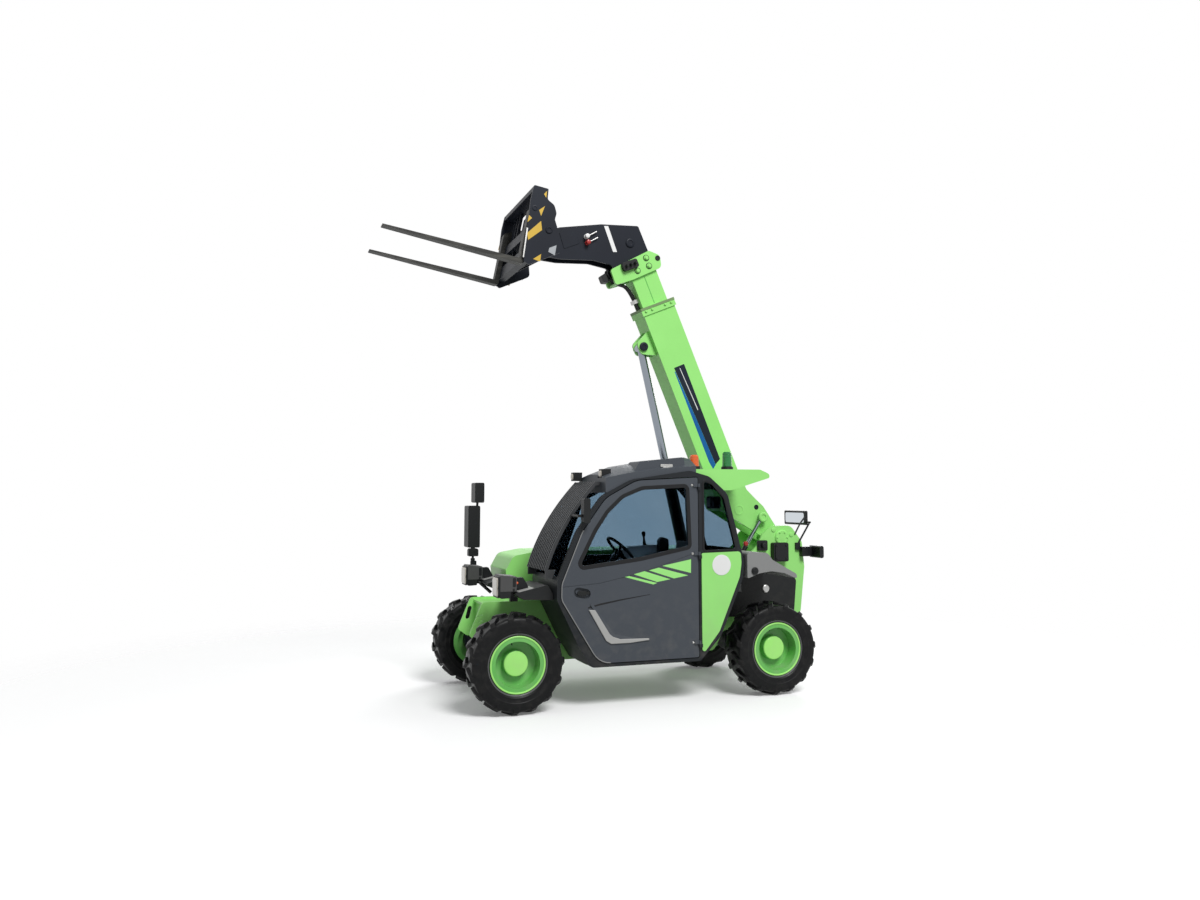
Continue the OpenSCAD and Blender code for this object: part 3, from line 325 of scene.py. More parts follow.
tyre_rubber = rubber("tyre_rubber", (0.0045, 0.0047, 0.0052), 0.16)
bead_highlight_rubber = rubber("bead_highlight_rubber", (0.070, 0.074, 0.074), 0.40)
print("rubbers", tyre_rubber.name, bead_highlight_rubber.name)

# %% [markdown]
# A cylinder's rod is hard chrome, polished smooth, with a sheen that varies a little from place to place.
# The forks are forged steel whose black coat has worn along the blades. The wear is a noise drawn out along
# the fork, which looks like the streaks that pallets leave.

# %% Metals


def polished(name, colour, rough):
    made = Finish(name)
    return made.shade(
        Base_Color=colour,
        Metallic=1.0,
        Roughness=rough + made.noise(60.0, 2.0) * 0.10,
        Normal=made.bump(made.noise(300.0, 1.0), 0.02, 0.0005),
    )


rod_chrome = polished("rod_chrome", (0.27, 0.30, 0.34), 0.14)
plated_steel = polished("plated_steel", (0.42, 0.42, 0.41), 0.30)
cast_block = polished("cast_block", (0.20, 0.21, 0.22), 0.48)
mirror_silver = polished("mirror_silver", (0.62, 0.66, 0.70), 0.03)

DRAWN_OUT = (0.5, 9.0, 4.0)
coat = Finish("fork_black")
along_fork = coat.node("ShaderNodeVectorMath", {"operation": "MULTIPLY"}, {0: coat.place(), 1: DRAWN_OUT})
streak = coat.noise(6.0, 6.0, along_fork).ramp(0.50, 0.78)
fork_black = coat.shade(
    Base_Color=coat.mix(streak, (0.018, 0.018, 0.016), (0.075, 0.073, 0.064)),
    Metallic=streak * 0.4,
    Roughness=0.52 - streak * 0.12,
    Specular_IOR_Level=0.25,
    Normal=coat.bump(coat.noise(120.0, 4.0), 0.10, 0.001),
)
print("metals from", rod_chrome.name, "to", fork_black.name)

# %% [markdown]
# The windows are tinted safety glass, real panes with two faces. A see-through material could be faded with
# alpha, which mixes at random and turns grainy, so light is let through the pane instead and takes its cool
# tint on the way. A pane that also mirrors the room splits each ray by chance, which is grain again, so its
# index is kept close to that of air. A thin film of dust, drawn by a slow noise, makes it a little milky in
# places. The lamps' lenses are coloured plastic with a faint painted glow, so that they don't look dead.

# %% Glass and lenses


def pane(name, tint, milky):
    made = Finish(name)
    film = made.noise(2.5).ramp(0.40, 0.80)
    return made.shade(
        Base_Color=made.mix(film, tint, milky),
        Roughness=0.005 + film * 0.01,
        Transmission_Weight=1.0,
        IOR=1.01,
    )


def lens(name, colour, glow):
    made = Finish(name)
    return made.shade(
        Base_Color=made.mix(made.noise(40.0, 2.0), colour, tuple(0.8 * v for v in colour)),
        Roughness=0.12 + made.noise(25.0, 2.0) * 0.08,
        Coat_Weight=0.3,
        # The emission is a faint painted glow; the lamps are not lit.
        Emission_Color=colour,
        Emission_Strength=glow,
    )


window_tint = pane("window_tint", (0.350, 0.450, 0.530), (0.380, 0.470, 0.540))
lens_amber = lens("lens_amber", (0.720, 0.100, 0.008), 0.10)
lens_green = lens("lens_green", (0.002, 0.170, 0.034), 0.04)
lens_red = lens("lens_red", (0.600, 0.012, 0.010), 0.05)
lens_clear = lens("lens_clear", (0.640, 0.590, 0.500), 0.08)
print("glass", window_tint.name, "and lenses from", lens_amber.name, "to", lens_clear.name)

# %% [markdown]
# The seat is covered in black woven cloth. Threads could be modelled one by one, but the seat is seen only
# through tinted glass. Two crossing waves make the weave, and a soft sheen lights its edge.

# %% Cloth
THREADS = 160.0
cloth = Finish("seat_weave")
warp, weft = (
    cloth.node("ShaderNodeTexWave", {"bands_direction": run}, {"Scale": THREADS, "Vector": cloth.place()}, 1)
    for run in "XY"
)
weave = warp * weft
seat_weave = cloth.shade(
    Base_Color=cloth.mix(weave, (0.016, 0.017, 0.019), (0.040, 0.041, 0.044)),
    Roughness=0.85 - weave * 0.08,
    Sheen_Weight=0.25,
    Normal=cloth.bump(weave, 0.25, 0.001),
)
print("cloth", seat_weave.name)

# %% [markdown]
# Each solid of the machine takes the finish of what it is made of. A real edge is never knife sharp, so a
# bevel that only changes how the solid is drawn rounds the corners by a few millimetres and catches the
# light.

# %% Dress the solids
EDGE_ROUND = 3 * MM
SHARP = math.radians(32)
UNROUNDED = ("windscreen", "cab_glass", "door_glass")
dress = {
    frame_green: "chassis hood_right hood_lid roof_fin quarter_panel boom_outer boom_inner",
    rim_green: "rim_fl rim_fr rim_rl rim_rr",
    cab_charcoal: "cab_roof door",
    pillar_black: "cab_frame",
    guard_grey: "windscreen_guard",
    cowl_grey: "rear_cowl",
    dark_enamel: "carriage boom_nose front_axle rear_axle knuckle_fl knuckle_fr knuckle_rl knuckle_rr",
    fork_black: "forks",
    cast_block: "power_block",
    # The arch liner's black under the cowl is in part the liner's own colour and in part painted shade.
    trim_black: "console headlamps mirrors rear_lamps front_cowl arch_liner",
    seat_weave: "seat",
    window_tint: "windscreen cab_glass door_glass",
    lens_amber: "beacon_amber",
    lens_green: "beacon_green",
    barrel_black: "lift_barrel level_barrel tilt_barrel",
    rod_chrome: "lift_rod level_rod tilt_rod",
    tyre_rubber: "tyre_fl tyre_fr tyre_rl tyre_rr",
}


def soften(solid, width):
    """Rounds the sharp edges of a solid as it is drawn."""
    weld = solid.modifiers.new("weld", "WELD")
    weld.merge_threshold = 1e-5
    bevel = solid.modifiers.new("edge", "BEVEL")
    bevel.width = width
    bevel.segments = 2
    bevel.limit_method = "ANGLE"
    bevel.angle_limit = SHARP
    even = solid.modifiers.new("even", "WEIGHTED_NORMAL")
    even.weight = 80


for finish, names in dress.items():
    for name in names.split():
        solid = nodes[name]
        solid.data.materials.clear()
        solid.data.materials.append(finish)
        if name not in UNROUNDED:
            soften(solid, EDGE_ROUND)
print("dressed", sum(len(names.split()) for names in dress.values()), "solids")

# %% [markdown]
# What follows adds the pieces too thin, too round or too soft for the solids. Most could be put together
# from Blender's ready-made boxes and cylinders, but their profiles would be lost, so each is a mesh of
# points and faces worked out here. The first way is a skin over a run of rings: a turned piece is a profile
# spun about an axis, each point of the profile giving one ring. Every new piece gets a finish and soft
# edges, and rides a body of the machine.

# %% Turned pieces
slot_finishes = {
    "paint": (frame_green, rim_green, stripe_green, band_navy, band_blue, flange_shade_olive),
    "rim_paint": (cap_and_lip_light_green,),
    "dark_steel": (dark_enamel, barrel_black, hazard_yellow, cast_block),
    "chrome": (plated_steel, mirror_silver, plate_grey),
    "trim_black": (trim_black, seal_black, lamp_grey, sign_white, coupler_red, lens_red, lens_clear),
    "cowl_grey": (cowl_grey, console_grey),
    "amber": (lens_amber,),
    "green_lens": (lens_green,),
    "tyre": (tyre_rubber, bead_highlight_rubber),
}
slot_of = {finish: slot for slot, finishes in slot_finishes.items() for finish in finishes}
pieces = {}


def skinned(rings, ends="lids"):
    """A skin over rings with equally many points. Its ends get lids, stay open or are joined."""
    count = len(rings[0])
    points = [point for ring in rings for point in ring]
    total = len(points)
    faces = []
    for start in range(0, total if ends == "joined" else total - count, count):
        after = (start + count) % total
        for i in range(count):
            j = (i + 1) % count
            faces.append((start + i, start + j, after + j, after + i))
    if ends == "lids":
        faces += [tuple(range(count - 1, -1, -1)), tuple(range(total - count, total))]
    return points, faces


def circle(side, other, steps):
    """Directions all the way round, from one direction towards another."""
    turns = [math.tau * i / steps for i in range(steps)]
    return [side * math.cos(turn) + other * math.sin(turn) for turn in turns]


def turned(profile, centre, axis, steps=32, ends="lids"):
    """A profile of (radius, height) in millimetres, spun about an axis through a place."""
    axis = Vector(axis).normalized()
    side = axis.orthogonal().normalized()
    round_about = circle(side, axis.cross(side), steps)
    return skinned([[centre + axis * (height * MM) + turn * (radius * MM) for turn in round_about]
                    for radius, height in profile], ends)


def together(*meshes):
    """Several meshes as one."""
    points, faces = [], []
    for more_points, more_faces in meshes:
        start = len(points)
        points.extend(more_points)
        faces.extend(tuple(start + i for i in face) for face in more_faces)
    return points, faces


def piece(name, mesh, finish, body="chassis", edge=1.5, slot=None):
    """A new piece that rides a body, with its faces turned outwards and its edges softened."""
    data = bpy.data.meshes.new(name)
    data.from_pydata([tuple(point) for point in mesh[0]], [], mesh[1])
    build = bmesh.new()
    build.from_mesh(data)
    bmesh.ops.recalc_face_normals(build, faces=build.faces)
    build.to_mesh(data)
    build.free()
    data.shade_smooth()
    data.materials.append(finish)
    made = pieces[name] = new_object(name, data)
    soften(made, edge * MM)
    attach(made, body)
    slot or slot_of[finish]
    return made


print("finishes with a slot", len(slot_of))

# %% [markdown]
# The tyres are made for soft ground. On the real one, lugs moulded with the carcass stand up from the tread
# in two rows, swept back from the middle and set half a pitch apart, and run over the shoulder into the
# flank. The carcass is turned from its section, with the moulded ribs of the flank, and each lug is a skin
# over five stations across the tread. Both follow the places of the solid tyre's lugs, so they roll as the
# solid does.

# %% Tyres
WHEEL_Y = 777
TYRE_R = 415
TYRE_HALF = 155
FLANK = [
    (206, 127), (240, 127.4), (247, 133), (256, 139), (262, 141), (266, 146), (273, 147.5), (280, 146),
    (284, 146.5), (306, 151), (310, 154), (316, 154.4), (320, 152.5), (338, 153), (358, 151), (374, 147),
    (384, 139), (389, 126), (390, 90), (390.5, 45), (390.5, 0),
]
LUG_COUNT = 15
LUG_STEP = math.tau / LUG_COUNT
LUG_SPAN = (0.07, 0.43)
LUG_ROWS = ((1, 0), (-1, 0.5))  # side of the tread, and pitches that the row is set on
LUG_SWEEP = 0.5
LUG_START = 16
LUG_DRAFT = 0.13
LUG_STATIONS = [  # radius on top, distance from the middle, radius at the foot
    (TYRE_R, 14, 388),
    (TYRE_R - 3, 70, 387),
    (TYRE_R - 5, TYRE_HALF - 34, 386),
    (TYRE_R - 30, TYRE_HALF - 4, 376),
    (TYRE_R - 84, TYRE_HALF - 3, 324),
]


def tyre_lug(centre, side, start):
    """One lug of the row on one side of the tread (1 or -1), which starts at a number of pitches."""
    fit = 1 / math.cos((LUG_SPAN[1] - LUG_SPAN[0]) * LUG_STEP / 2)
    rings = []
    for top, out, foot in LUG_STATIONS:
        slope = LUG_SWEEP * (out - LUG_START) / TYRE_HALF
        begin, end = ((start + span + slope) * LUG_STEP for span in LUG_SPAN)
        draft = LUG_DRAFT * (end - begin)
        section = ((begin, foot), (begin + draft, top * fit), (end - draft, top * fit), (end, foot))
        rings.append([centre + Vector((r * math.cos(turn), side * out, -r * math.sin(turn))) * MM
                      for turn, r in section])
    return skinned(rings)


wheels = {}
for corner, centre in wheel_at.items():
    side = math.copysign(1, centre.y)
    hub = Vector((centre.x, side * WHEEL_Y * MM, centre.z))
    wheels[corner] = (side, hub)
    carcass = turned(FLANK + [(r, -out) for r, out in reversed(FLANK[:-1])], hub, LEFT, 90, "joined")
    lugs = [tyre_lug(hub, side * row, i + shift) for i in range(LUG_COUNT) for row, shift in LUG_ROWS]
    tyre = piece("tyre_" + corner + "_rubber", together(carcass, *lugs), tyre_rubber, "wheel_" + corner, 4)
    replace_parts(tyre, "tyre_" + corner)
print("lugs on a tyre", len(lugs))

# %% [markdown]
# Pipes, stems and rods are round bars along a path. Blender's curves could draw them, but a skin over rings
# needs no conversion. The path is a curve that passes through a few stops, each stretch bent by the stops
# next to it, and each ring is turned as little as possible from the one before, so that the bar doesn't
# twist.

# %% Round bars


def smooth_path(stops, steps=6):
    """A curve that passes through all the stops."""
    path = []
    for i in range(len(stops) - 1):
        before, a = stops[max(i - 1, 0)], stops[i]
        b, after = stops[i + 1], stops[min(i + 2, len(stops) - 1)]
        for k in range(steps):
            t = k / steps
            path.append(0.5 * (2 * a + (b - before) * t + (2 * before - 5 * a + 4 * b - after) * t ** 2
                               + (3 * a - before - 3 * b + after) * t ** 3))
    return path + [stops[-1]]


def tube(path, radius, sides=12):
    """A round bar along a path, closed at both ends."""
    rings = []
    side = (path[1] - path[0]).orthogonal().normalized()
    for before, stop, after in zip(path[:1] + path, path, path[1:] + path[-1:]):
        run = (after - before).normalized()
        side = (side - run * side.dot(run)).normalized()
        rings.append([stop + turn * (radius * MM) for turn in circle(side, run.cross(side), sides)])
    return skinned(rings)


print("round bars ready")

# %% [markdown]
# A rim is a painted dish with a rolled lip. The lip, the hub cap's flat face, the tyre's bead and the valve
# stem are small turned pieces and bars that ride the wheel. The dish's darker green is painted shade, and the
# lighter green of the cap and the lip is painted light on the same paint.

# %% Rims
HUB_CAP = [(104, 60), (104, 70), (98, 75), (60, 77), (1, 77)]
RIM_LIP = [(222, 133), (232, 134), (238, 138), (238, 142), (233, 144), (224, 142)]
BEAD_HIGHLIGHT = [(242, 128), (244, 137), (250, 141), (257, 141.5), (258, 138)]
VALVE_AT = Vector((30, 0, 165)) * MM
VALVE_BEND = ((5, 0), (30, 0), (50, -12))
for corner, (side, hub) in wheels.items():
    wheel = "wheel_" + corner
    out = LEFT * side
    piece("hub_cap_" + corner, turned(HUB_CAP, hub, out, 48), cap_and_lip_light_green, wheel, 1)
    piece("rim_lip_" + corner, turned(RIM_LIP, hub, out, 72, "joined"), cap_and_lip_light_green, wheel, 1)
    # The bead ring's lighter grey is a painted highlight.
    piece("tyre_bead_highlight_" + corner, turned(BEAD_HIGHLIGHT, hub, out, 72, "joined"), bead_highlight_rubber, wheel, 1)
    stops = [hub + VALVE_AT + out * (away * MM) + UP * (rise * MM) for away, rise in VALVE_BEND]
    piece("valve_" + corner, tube(smooth_path(stops), 5), trim_black, wheel, 1, "tyre")
print("rims dressed", len(wheels), "pieces so far", len(pieces))

# %% [markdown]
# Plates, seals and boxes are slabs: a flat outline between two distances, which is a skin over two rings.
# An outline is a list of corners, and each corner is an arc of its own radius, as in sheet metal and
# mouldings.

# %% Slabs


def rounded(corners, steps=5):
    """An outline whose corners (a, c, radius) are arcs."""
    outline = []
    count = len(corners)
    for i in range(count):
        a, b, c = (Vector(corners[k % count][:2]) for k in (i - 1, i, i + 1))
        radius = corners[i][2]
        to_a, to_c = (a - b).normalized(), (c - b).normalized()
        half = math.acos(max(-1, min(1, to_a.dot(to_c)))) / 2
        centre = b + (to_a + to_c).normalized() * (radius / math.sin(half))
        first = b + to_a * (radius / math.tan(half)) - centre
        last = b + to_c * (radius / math.tan(half)) - centre
        start = math.atan2(first.y, first.x)
        turn = math.atan2(first.x * last.y - first.y * last.x, first.dot(last))
        for k in range(steps + 1):
            angle = start + turn * k / steps
            outline.append((centre.x + radius * math.cos(angle), centre.y + radius * math.sin(angle)))
    return outline


def box_outline(a0, c0, a1, c1, corner):
    """A rectangle between two opposite corners, with round corners."""
    (a0, a1), (c0, c1) = sorted((a0, a1)), sorted((c0, c1))
    return rounded([(a1, c0, corner), (a1, c1, corner), (a0, c1, corner), (a0, c0, corner)])


def slab(outline, near, far, place=at):
    """A flat outline of (a, c) between two distances, set into the machine by a place function."""
    return skinned([[place(a, depth, c) for a, c in outline] for depth in (near, far)])


def block(outline, middle, half, place=at):
    """A slab that reaches as far to one side of a middle distance as to the other."""
    return slab(outline, middle - half, middle + half, place)


print("slabs ready")

# %% [markdown]
# The seat is foam under cloth, so it is made as cushions: a block of squares is blown out where nothing
# holds it and kept flat where it rests. Along a cushion's rim the cloth is sewn, which pulls the sides in
# between the corners. The same function makes the squab and the back rest, each in its own slanted frame.

# %% Seat
SEAT_Y = 575
CELLS = 14


def cushion(name, corner, along, up, size, crown):
    """A crowned pad: size is along, across and thick in millimetres, and its underside stays flat."""
    length, width, thick = size
    build = bmesh.new()
    bmesh.ops.create_cube(build, size=1)
    bmesh.ops.subdivide_edges(build, edges=build.edges[:], cuts=CELLS, use_grid_fill=True)
    for point in build.verts:
        a, b, c = (2 * v for v in point.co)
        bulge = (1 - a ** 4) * (1 - b ** 4)
        channel = 0.12 * math.exp(-((abs(b) - 0.58) / 0.06) ** 2) * (1 - a ** 6)
        pinch = 1 - 0.045 * (1 - a * a) * abs(b) - 0.05 * (1 - abs(c))
        pinch *= 1 - 0.06 * abs(c) ** 6
        rim = min((abs(a) ** 8 + abs(b) ** 8) ** 0.5, 1)
        height = c * thick / 2 * (1 - 0.22 * rim) + (crown * (bulge - channel) if c > 0.9 else 0)
        point.co = (corner + along * ((a * pinch + 1) / 2 * length * MM)
                    + LEFT * (b * pinch * width / 2 * MM) + up * ((height + thick / 2) * MM))
    data = bpy.data.meshes.new(name)
    build.to_mesh(data)
    build.free()
    data.shade_smooth()
    data.materials.append(seat_weave)
    made = pieces[name] = new_object(name, data)
    round_off = made.modifiers.new("round", "SUBSURF")
    round_off.levels = round_off.render_levels = 1
    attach(made, "chassis")
    return made


squab_along = Vector((1, 0, 0.03)).normalized()
squab_up = Vector((-squab_along.z, 0, squab_along.x))
squab = cushion("seat_squab", at(-462, SEAT_Y, 764), squab_along, squab_up, (462, 470, 92), 18)
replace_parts(squab, "seat")
back_along = Vector((-0.21, 0, 0.98)).normalized()
back_up = Vector((back_along.z, 0, -back_along.x))
cushion("seat_back", at(-435, SEAT_Y, 872), back_along, back_up, (520, 450, 88), 14)
PEDESTAL = [(-420, 392, 10), (-70, 392, 10), (-90, 560, 40), (-90, 758, 6), (-410, 758, 6), (-410, 560, 40)]
pedestal = together(
    block(rounded(PEDESTAL), SEAT_Y, 190),
    block(box_outline(-440, 745, -20, 764, 6), SEAT_Y, 215),
)
piece("seat_pedestal", pedestal, trim_black, edge=4)
print("seat done, pieces so far", len(pieces))

# %% [markdown]
# Through the glass a driver's place shows: a dash with a steering wheel on a long sloping column, a grey
# console at the driver's right with a joystick, and a loudspeaker in the rear corner. The wheel's rim is a
# small circle spun round a large one, its spokes and the column are bars, and together they stand for the
# plain solid console.

# %% Driver's place
WHEEL_HUB = at(175, SEAT_Y, 1318)
WHEEL_AXIS = Vector((-0.707, 0, 0.707))
WHEEL_RADIUS = 162
GRIP_RADIUS = 14
grip = circle(Vector((GRIP_RADIUS, 0)), Vector((0, GRIP_RADIUS)), 12)
wheel_rim = turned([(WHEEL_RADIUS + p.x, p.y) for p in grip], WHEEL_HUB, WHEEL_AXIS, 48, "joined")
below_hub = WHEEL_HUB - WHEEL_AXIS * 0.02
spokes = [tube(smooth_path([below_hub + arm * 0.02, below_hub + arm * 0.10, WHEEL_HUB + arm * 0.16]), 11)
          for arm in circle(WHEEL_AXIS.cross(LEFT), -LEFT, 3)]
hub_pad = turned([(30, -60), (48, -34), (50, -18), (42, -8), (1, -6)], WHEEL_HUB, WHEEL_AXIS)
column = tube([WHEEL_HUB - WHEEL_AXIS * 0.03, WHEEL_HUB - WHEEL_AXIS * 0.43], 27, 20)
DASH_SIDE = [(430, 392, 10), (500, 392, 10), (650, 900, 60), (612, 1062, 40), (470, 1072, 50)]
DASH_TOP = [(452, 1010, 8), (600, 1058, 8), (596, 1082, 8), (440, 1050, 8)]
dash = together(
    block(rounded(DASH_SIDE), SEAT_Y, 150),
    block(rounded(DASH_TOP), SEAT_Y, 120),
    column, wheel_rim, hub_pad, *spokes,
)
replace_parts(piece("dash_and_wheel", dash, trim_black, edge=4), "console")
SIDE_CONSOLE = [(-330, 800, 20), (120, 800, 20), (130, 1250, 40), (30, 1330, 40), (-330, 1350, 30)]
piece("side_console", slab(rounded(SIDE_CONSOLE), 150, 262), console_grey, edge=8)
ARM_REST = [(-400, 1250, 20), (-300, 1250, 20), (-300, 1385, 30), (-330, 1425, 30), (-400, 1400, 30)]
STICK = [(20, 0), (16, 30), (12, 44), (9, 84), (16, 96), (20, 118), (14, 134), (1, 138)]
joystick = together(slab(rounded(ARM_REST), 262, 330), turned(STICK, at(-200, 205, 1338), (0.1, 0, 1), 24))
piece("joystick", joystick, seal_black, edge=6)
speaker = together(
    slab(box_outline(-724, 1692, -622, 1806, 22), 700, 790),
    *(turned([(r, 0), (r, 3), (r - 5, 4)], at(-673, 790, 1749), LEFT, 28) for r in (38, 29, 20, 11)),
)
piece("cab_speaker", speaker, seal_black, edge=5)
print("driver's place done, pieces so far", len(pieces))

# %% [markdown]
# A lamp is a bright crowned lens in a black bezel. The lens could be a flat plate, but its light then
# switches on and off all at once, so it is built of three outlines, each smaller and further out. The
# headlamps stand on the front cowls in grey shells, and the two work lamps at the front edge of the roof.

# %% Lamps
SIDES = ((1, "left", LEFT), (-1, "right", -LEFT))  # sign of y, name and way out
HEADLAMP_Y = 663
COWL_EDGE_X = 1229
COWL_EDGE_Z = 987
COWL_SLOPE = 66 / 299
SHELL = [(1196, 1003, 4), (1340, 1003, 4), (1340, 1144, 10), (1196, 1130, 10)]
LAMP_ARM = [(1060, 1010, 20), (1120, 1116, 20), (1204, 1112, 20), (1204, 1010, 6)]


def across(a, depth, c):
    """Place function of a plate that faces forwards: a to the left, depth forwards, c up."""
    return at(depth, a, c)


def on_cowl(a, depth, c):
    """A point on the sloping top of a front cowl: a forwards, c to the left, depth up from it."""
    return at(a, c, COWL_EDGE_Z + (COWL_EDGE_X - a) * COWL_SLOPE + depth)


def grown(outline, by):
    """An anticlockwise outline moved outwards."""
    count = len(outline)
    moved = []
    for i in range(count):
        before, here, after = (Vector(outline[k % count]) for k in (i - 1, i, i + 1))
        first, second = (here - before).normalized(), (after - here).normalized()
        normal = Vector((first.y + second.y, -first.x - second.x))
        moved.append(tuple(here + normal * (by / (1 + first.dot(second)))))
    return moved


def ring_slab(outer, inner, near, far, place=at):
    """The band between two outlines with equally many points."""
    edges = ((outer, near), (outer, far), (inner, far), (inner, near))
    return skinned([[place(a, depth, c) for a, c in edge] for edge, depth in edges], "joined")


def lamp_front(name, y, z, x, width, height):
    """Bezel and lens of a lamp that looks forwards from the plane x."""
    w, h = width / 2, height / 2
    inner = box_outline(y - w + 10, z - h + 10, y + w - 10, z + h - 10, 20)
    outer = box_outline(y - w, z - h, y + w, z + h, 26)
    piece(name + "_bezel", ring_slab(outer, inner, x - 8, x + 5, across), trim_black, edge=2.5)
    crown = skinned([[across(a, x + out, c) for a, c in grown(inner, by)]
                     for by, out in ((1, -4), (-3, 9), (-14, 15))])
    piece(name + "_lens", crown, lens_clear, edge=1)


lamp_front("roof_lamp_left", 720, 2010, 424, 92, 78)
lamp_front("roof_lamp_right", 175, 1990, 512, 86, 78)
for side, word, outward in SIDES:
    y = side * HEADLAMP_Y
    lamp_front("headlamp_" + word, y, 1040, 1352, 196, 180)
    piece("headlamp_shell_" + word, block(rounded(SHELL), y, 103), lamp_grey, edge=6)
    backs = together(
        block(box_outline(1204, 1040, 1232, 1118, 8), y, 105),
        block(box_outline(1214, 1006, 1232, 1030, 5), y, 105),
    )
    piece("headlamp_back_" + word, backs, seal_black, edge=2)
    piece("lamp_arm_" + word, block(rounded(LAMP_ARM), side * 665, 25), seal_black, edge=5)
    top_plate = slab(box_outline(1050, side * 560, 1186, side * 780, 10), -1, 5, on_cowl)
    piece("cowl_plate_" + word, top_plate, plate_grey)
    marker = turned([(11, 0), (11, 5), (8, 8), (1, 9)], at(1176, side * 690, 1069), outward, 24)
    piece("side_marker_" + word, marker, lens_amber, edge=1)
print("lamps done, pieces so far", len(pieces))

# %% [markdown]
# Two beacons stand on the tail of the roof. Each lens sits in a black rubber foot and has moulded ribs that
# scatter its light. The foot and the ribs are turned rings, which ride where the solid lens is.

# %% Beacons
FIN_TOP = 2052
BEACON_FOOT = [(64, -1), (64, 8), (58, 16), (57, 34), (52, 38), (46, 38)]
RIB_COUNT = 5
for name, x, height, finish in (("amber", -614, 146, lens_amber), ("green", -963, 179, lens_green)):
    foot_place = at(x, 450, FIN_TOP)
    piece("beacon_foot_" + name, turned(BEACON_FOOT, foot_place, UP, 40), trim_black)
    ribs = []
    for k in range(RIB_COUNT):
        z = 44 + k * (height - 70) / (RIB_COUNT - 1)
        r = 48 - 6 * z / height
        ribs.append(turned([(r - 2, z - 4), (r + 1.6, z), (r - 2, z + 4)], foot_place, UP, 40))
    piece("beacon_ribs_" + name, together(*ribs), finish, edge=0.6)
print("beacons done, pieces so far", len(pieces))

# %% [markdown]
# Door and cab trim: a rubber seal frames each window, four green stripes lie under the belt line, bolts
# hold the hinges, and a blank round sign sits on the quarter panel. They could be cut into the panels, but
# on the real machine they are laid over them, so they are thin slabs that open with the door or stay with
# the cab.

# %% Door and cab trim
DOOR_FACE = 905
CAB_FACE = 900
DOOR_WINDOW = rounded([
    (-350, 1360, 25), (121, 1268, 60), (690, 1200, 30), (530, 1510, 200), (420, 1670, 150), (280, 1800, 150),
    (100, 1872, 150), (-330, 1893, 30),
])
QUARTER_WINDOW = rounded([
    (-828, 1320, 30), (-492, 1312, 30), (-492, 1960, 30), (-590, 1920, 60), (-712, 1790, 80),
])
STRIPES = [
    [(-89, 1195), (-367, 1246), (-365, 1125)],
    [(39, 1159), (-55, 1180), (-339, 1105), (-200, 1082)],
    [(182, 1129), (81, 1153), (-166, 1076), (-38, 1056)],
    [(266, 1108), (224, 1115), (-37, 1048), (-3, 1035)],
]
DOOR_EDGE_HIGHLIGHT = rounded([
    (-436, 390, 5), (500, 384, 180), (840, 930, 120), (838, 1060, 150), (660, 1490, 400), (600, 1590, 5),
])[6:-6]  # without the arcs of the two end corners
MOULDING_HIGHLIGHT = [
    (600, 840), (541, 837), (409, 628), (377, 602), (312, 581), (42, 574), (42, 559), (220, 543), (395, 543),
    (441, 571),
]
CREASE_SHADE = [(603, 862), (494, 889), (311, 918), (30, 952), (30, 948), (311, 906), (494, 874), (603, 850)]
HINGES = [(x, z) for z in (515, 1295, 1905) for x in (-410, -384)]


def bolt(place, axis, size):
    """A washer and a hexagon head of one size across."""
    washer = [(0.72, 0), (0.72, 0.14), (0.4, 0.16)]
    head = [(0.56, 0.12), (0.58, 0.5), (0.45, 0.62)]
    return together(*(turned([(size * r, size * h) for r, h in profile], place, axis, steps)
                      for profile, steps in ((washer, 20), (head, 6))))


def laid_on(outline, face, sink, proud, side=1, place=at):
    """A thin slab on a face: how far out the face is, and how deep the slab sinks in and stands proud."""
    return slab(outline, side * (face - sink), side * (face + proud), place)


seal = ring_slab(grown(DOOR_WINDOW, 26), grown(DOOR_WINDOW, -9), DOOR_FACE - 14, DOOR_FACE + 3)
piece("door_window_seal", seal, seal_black, "door", 2.5)
seal = ring_slab(grown(QUARTER_WINDOW, 9), grown(QUARTER_WINDOW, -12), CAB_FACE - 12, CAB_FACE + 4)
piece("quarter_window_seal", seal, seal_black, edge=2.5)
stripes = [laid_on(stripe, DOOR_FACE, 0.5, 0.8) for stripe in STRIPES]
piece("door_stripes", together(*stripes), stripe_green, "door", 0.2)
# A grey tube along the door's front and lower edge is a painted highlight of that edge.
edge_highlight = tube([at(a, DOOR_FACE + 1, c) for a, c in DOOR_EDGE_HIGHLIGHT], 5)
piece("door_edge_highlight", edge_highlight, cowl_grey, "door", 0.5, "cab_shell")
# The pale grey L band over the door's moulding is a painted highlight.
piece("door_moulding_highlight", laid_on(MOULDING_HIGHLIGHT, DOOR_FACE, 2, 12), plate_grey, "door", 5, "cab_shell")
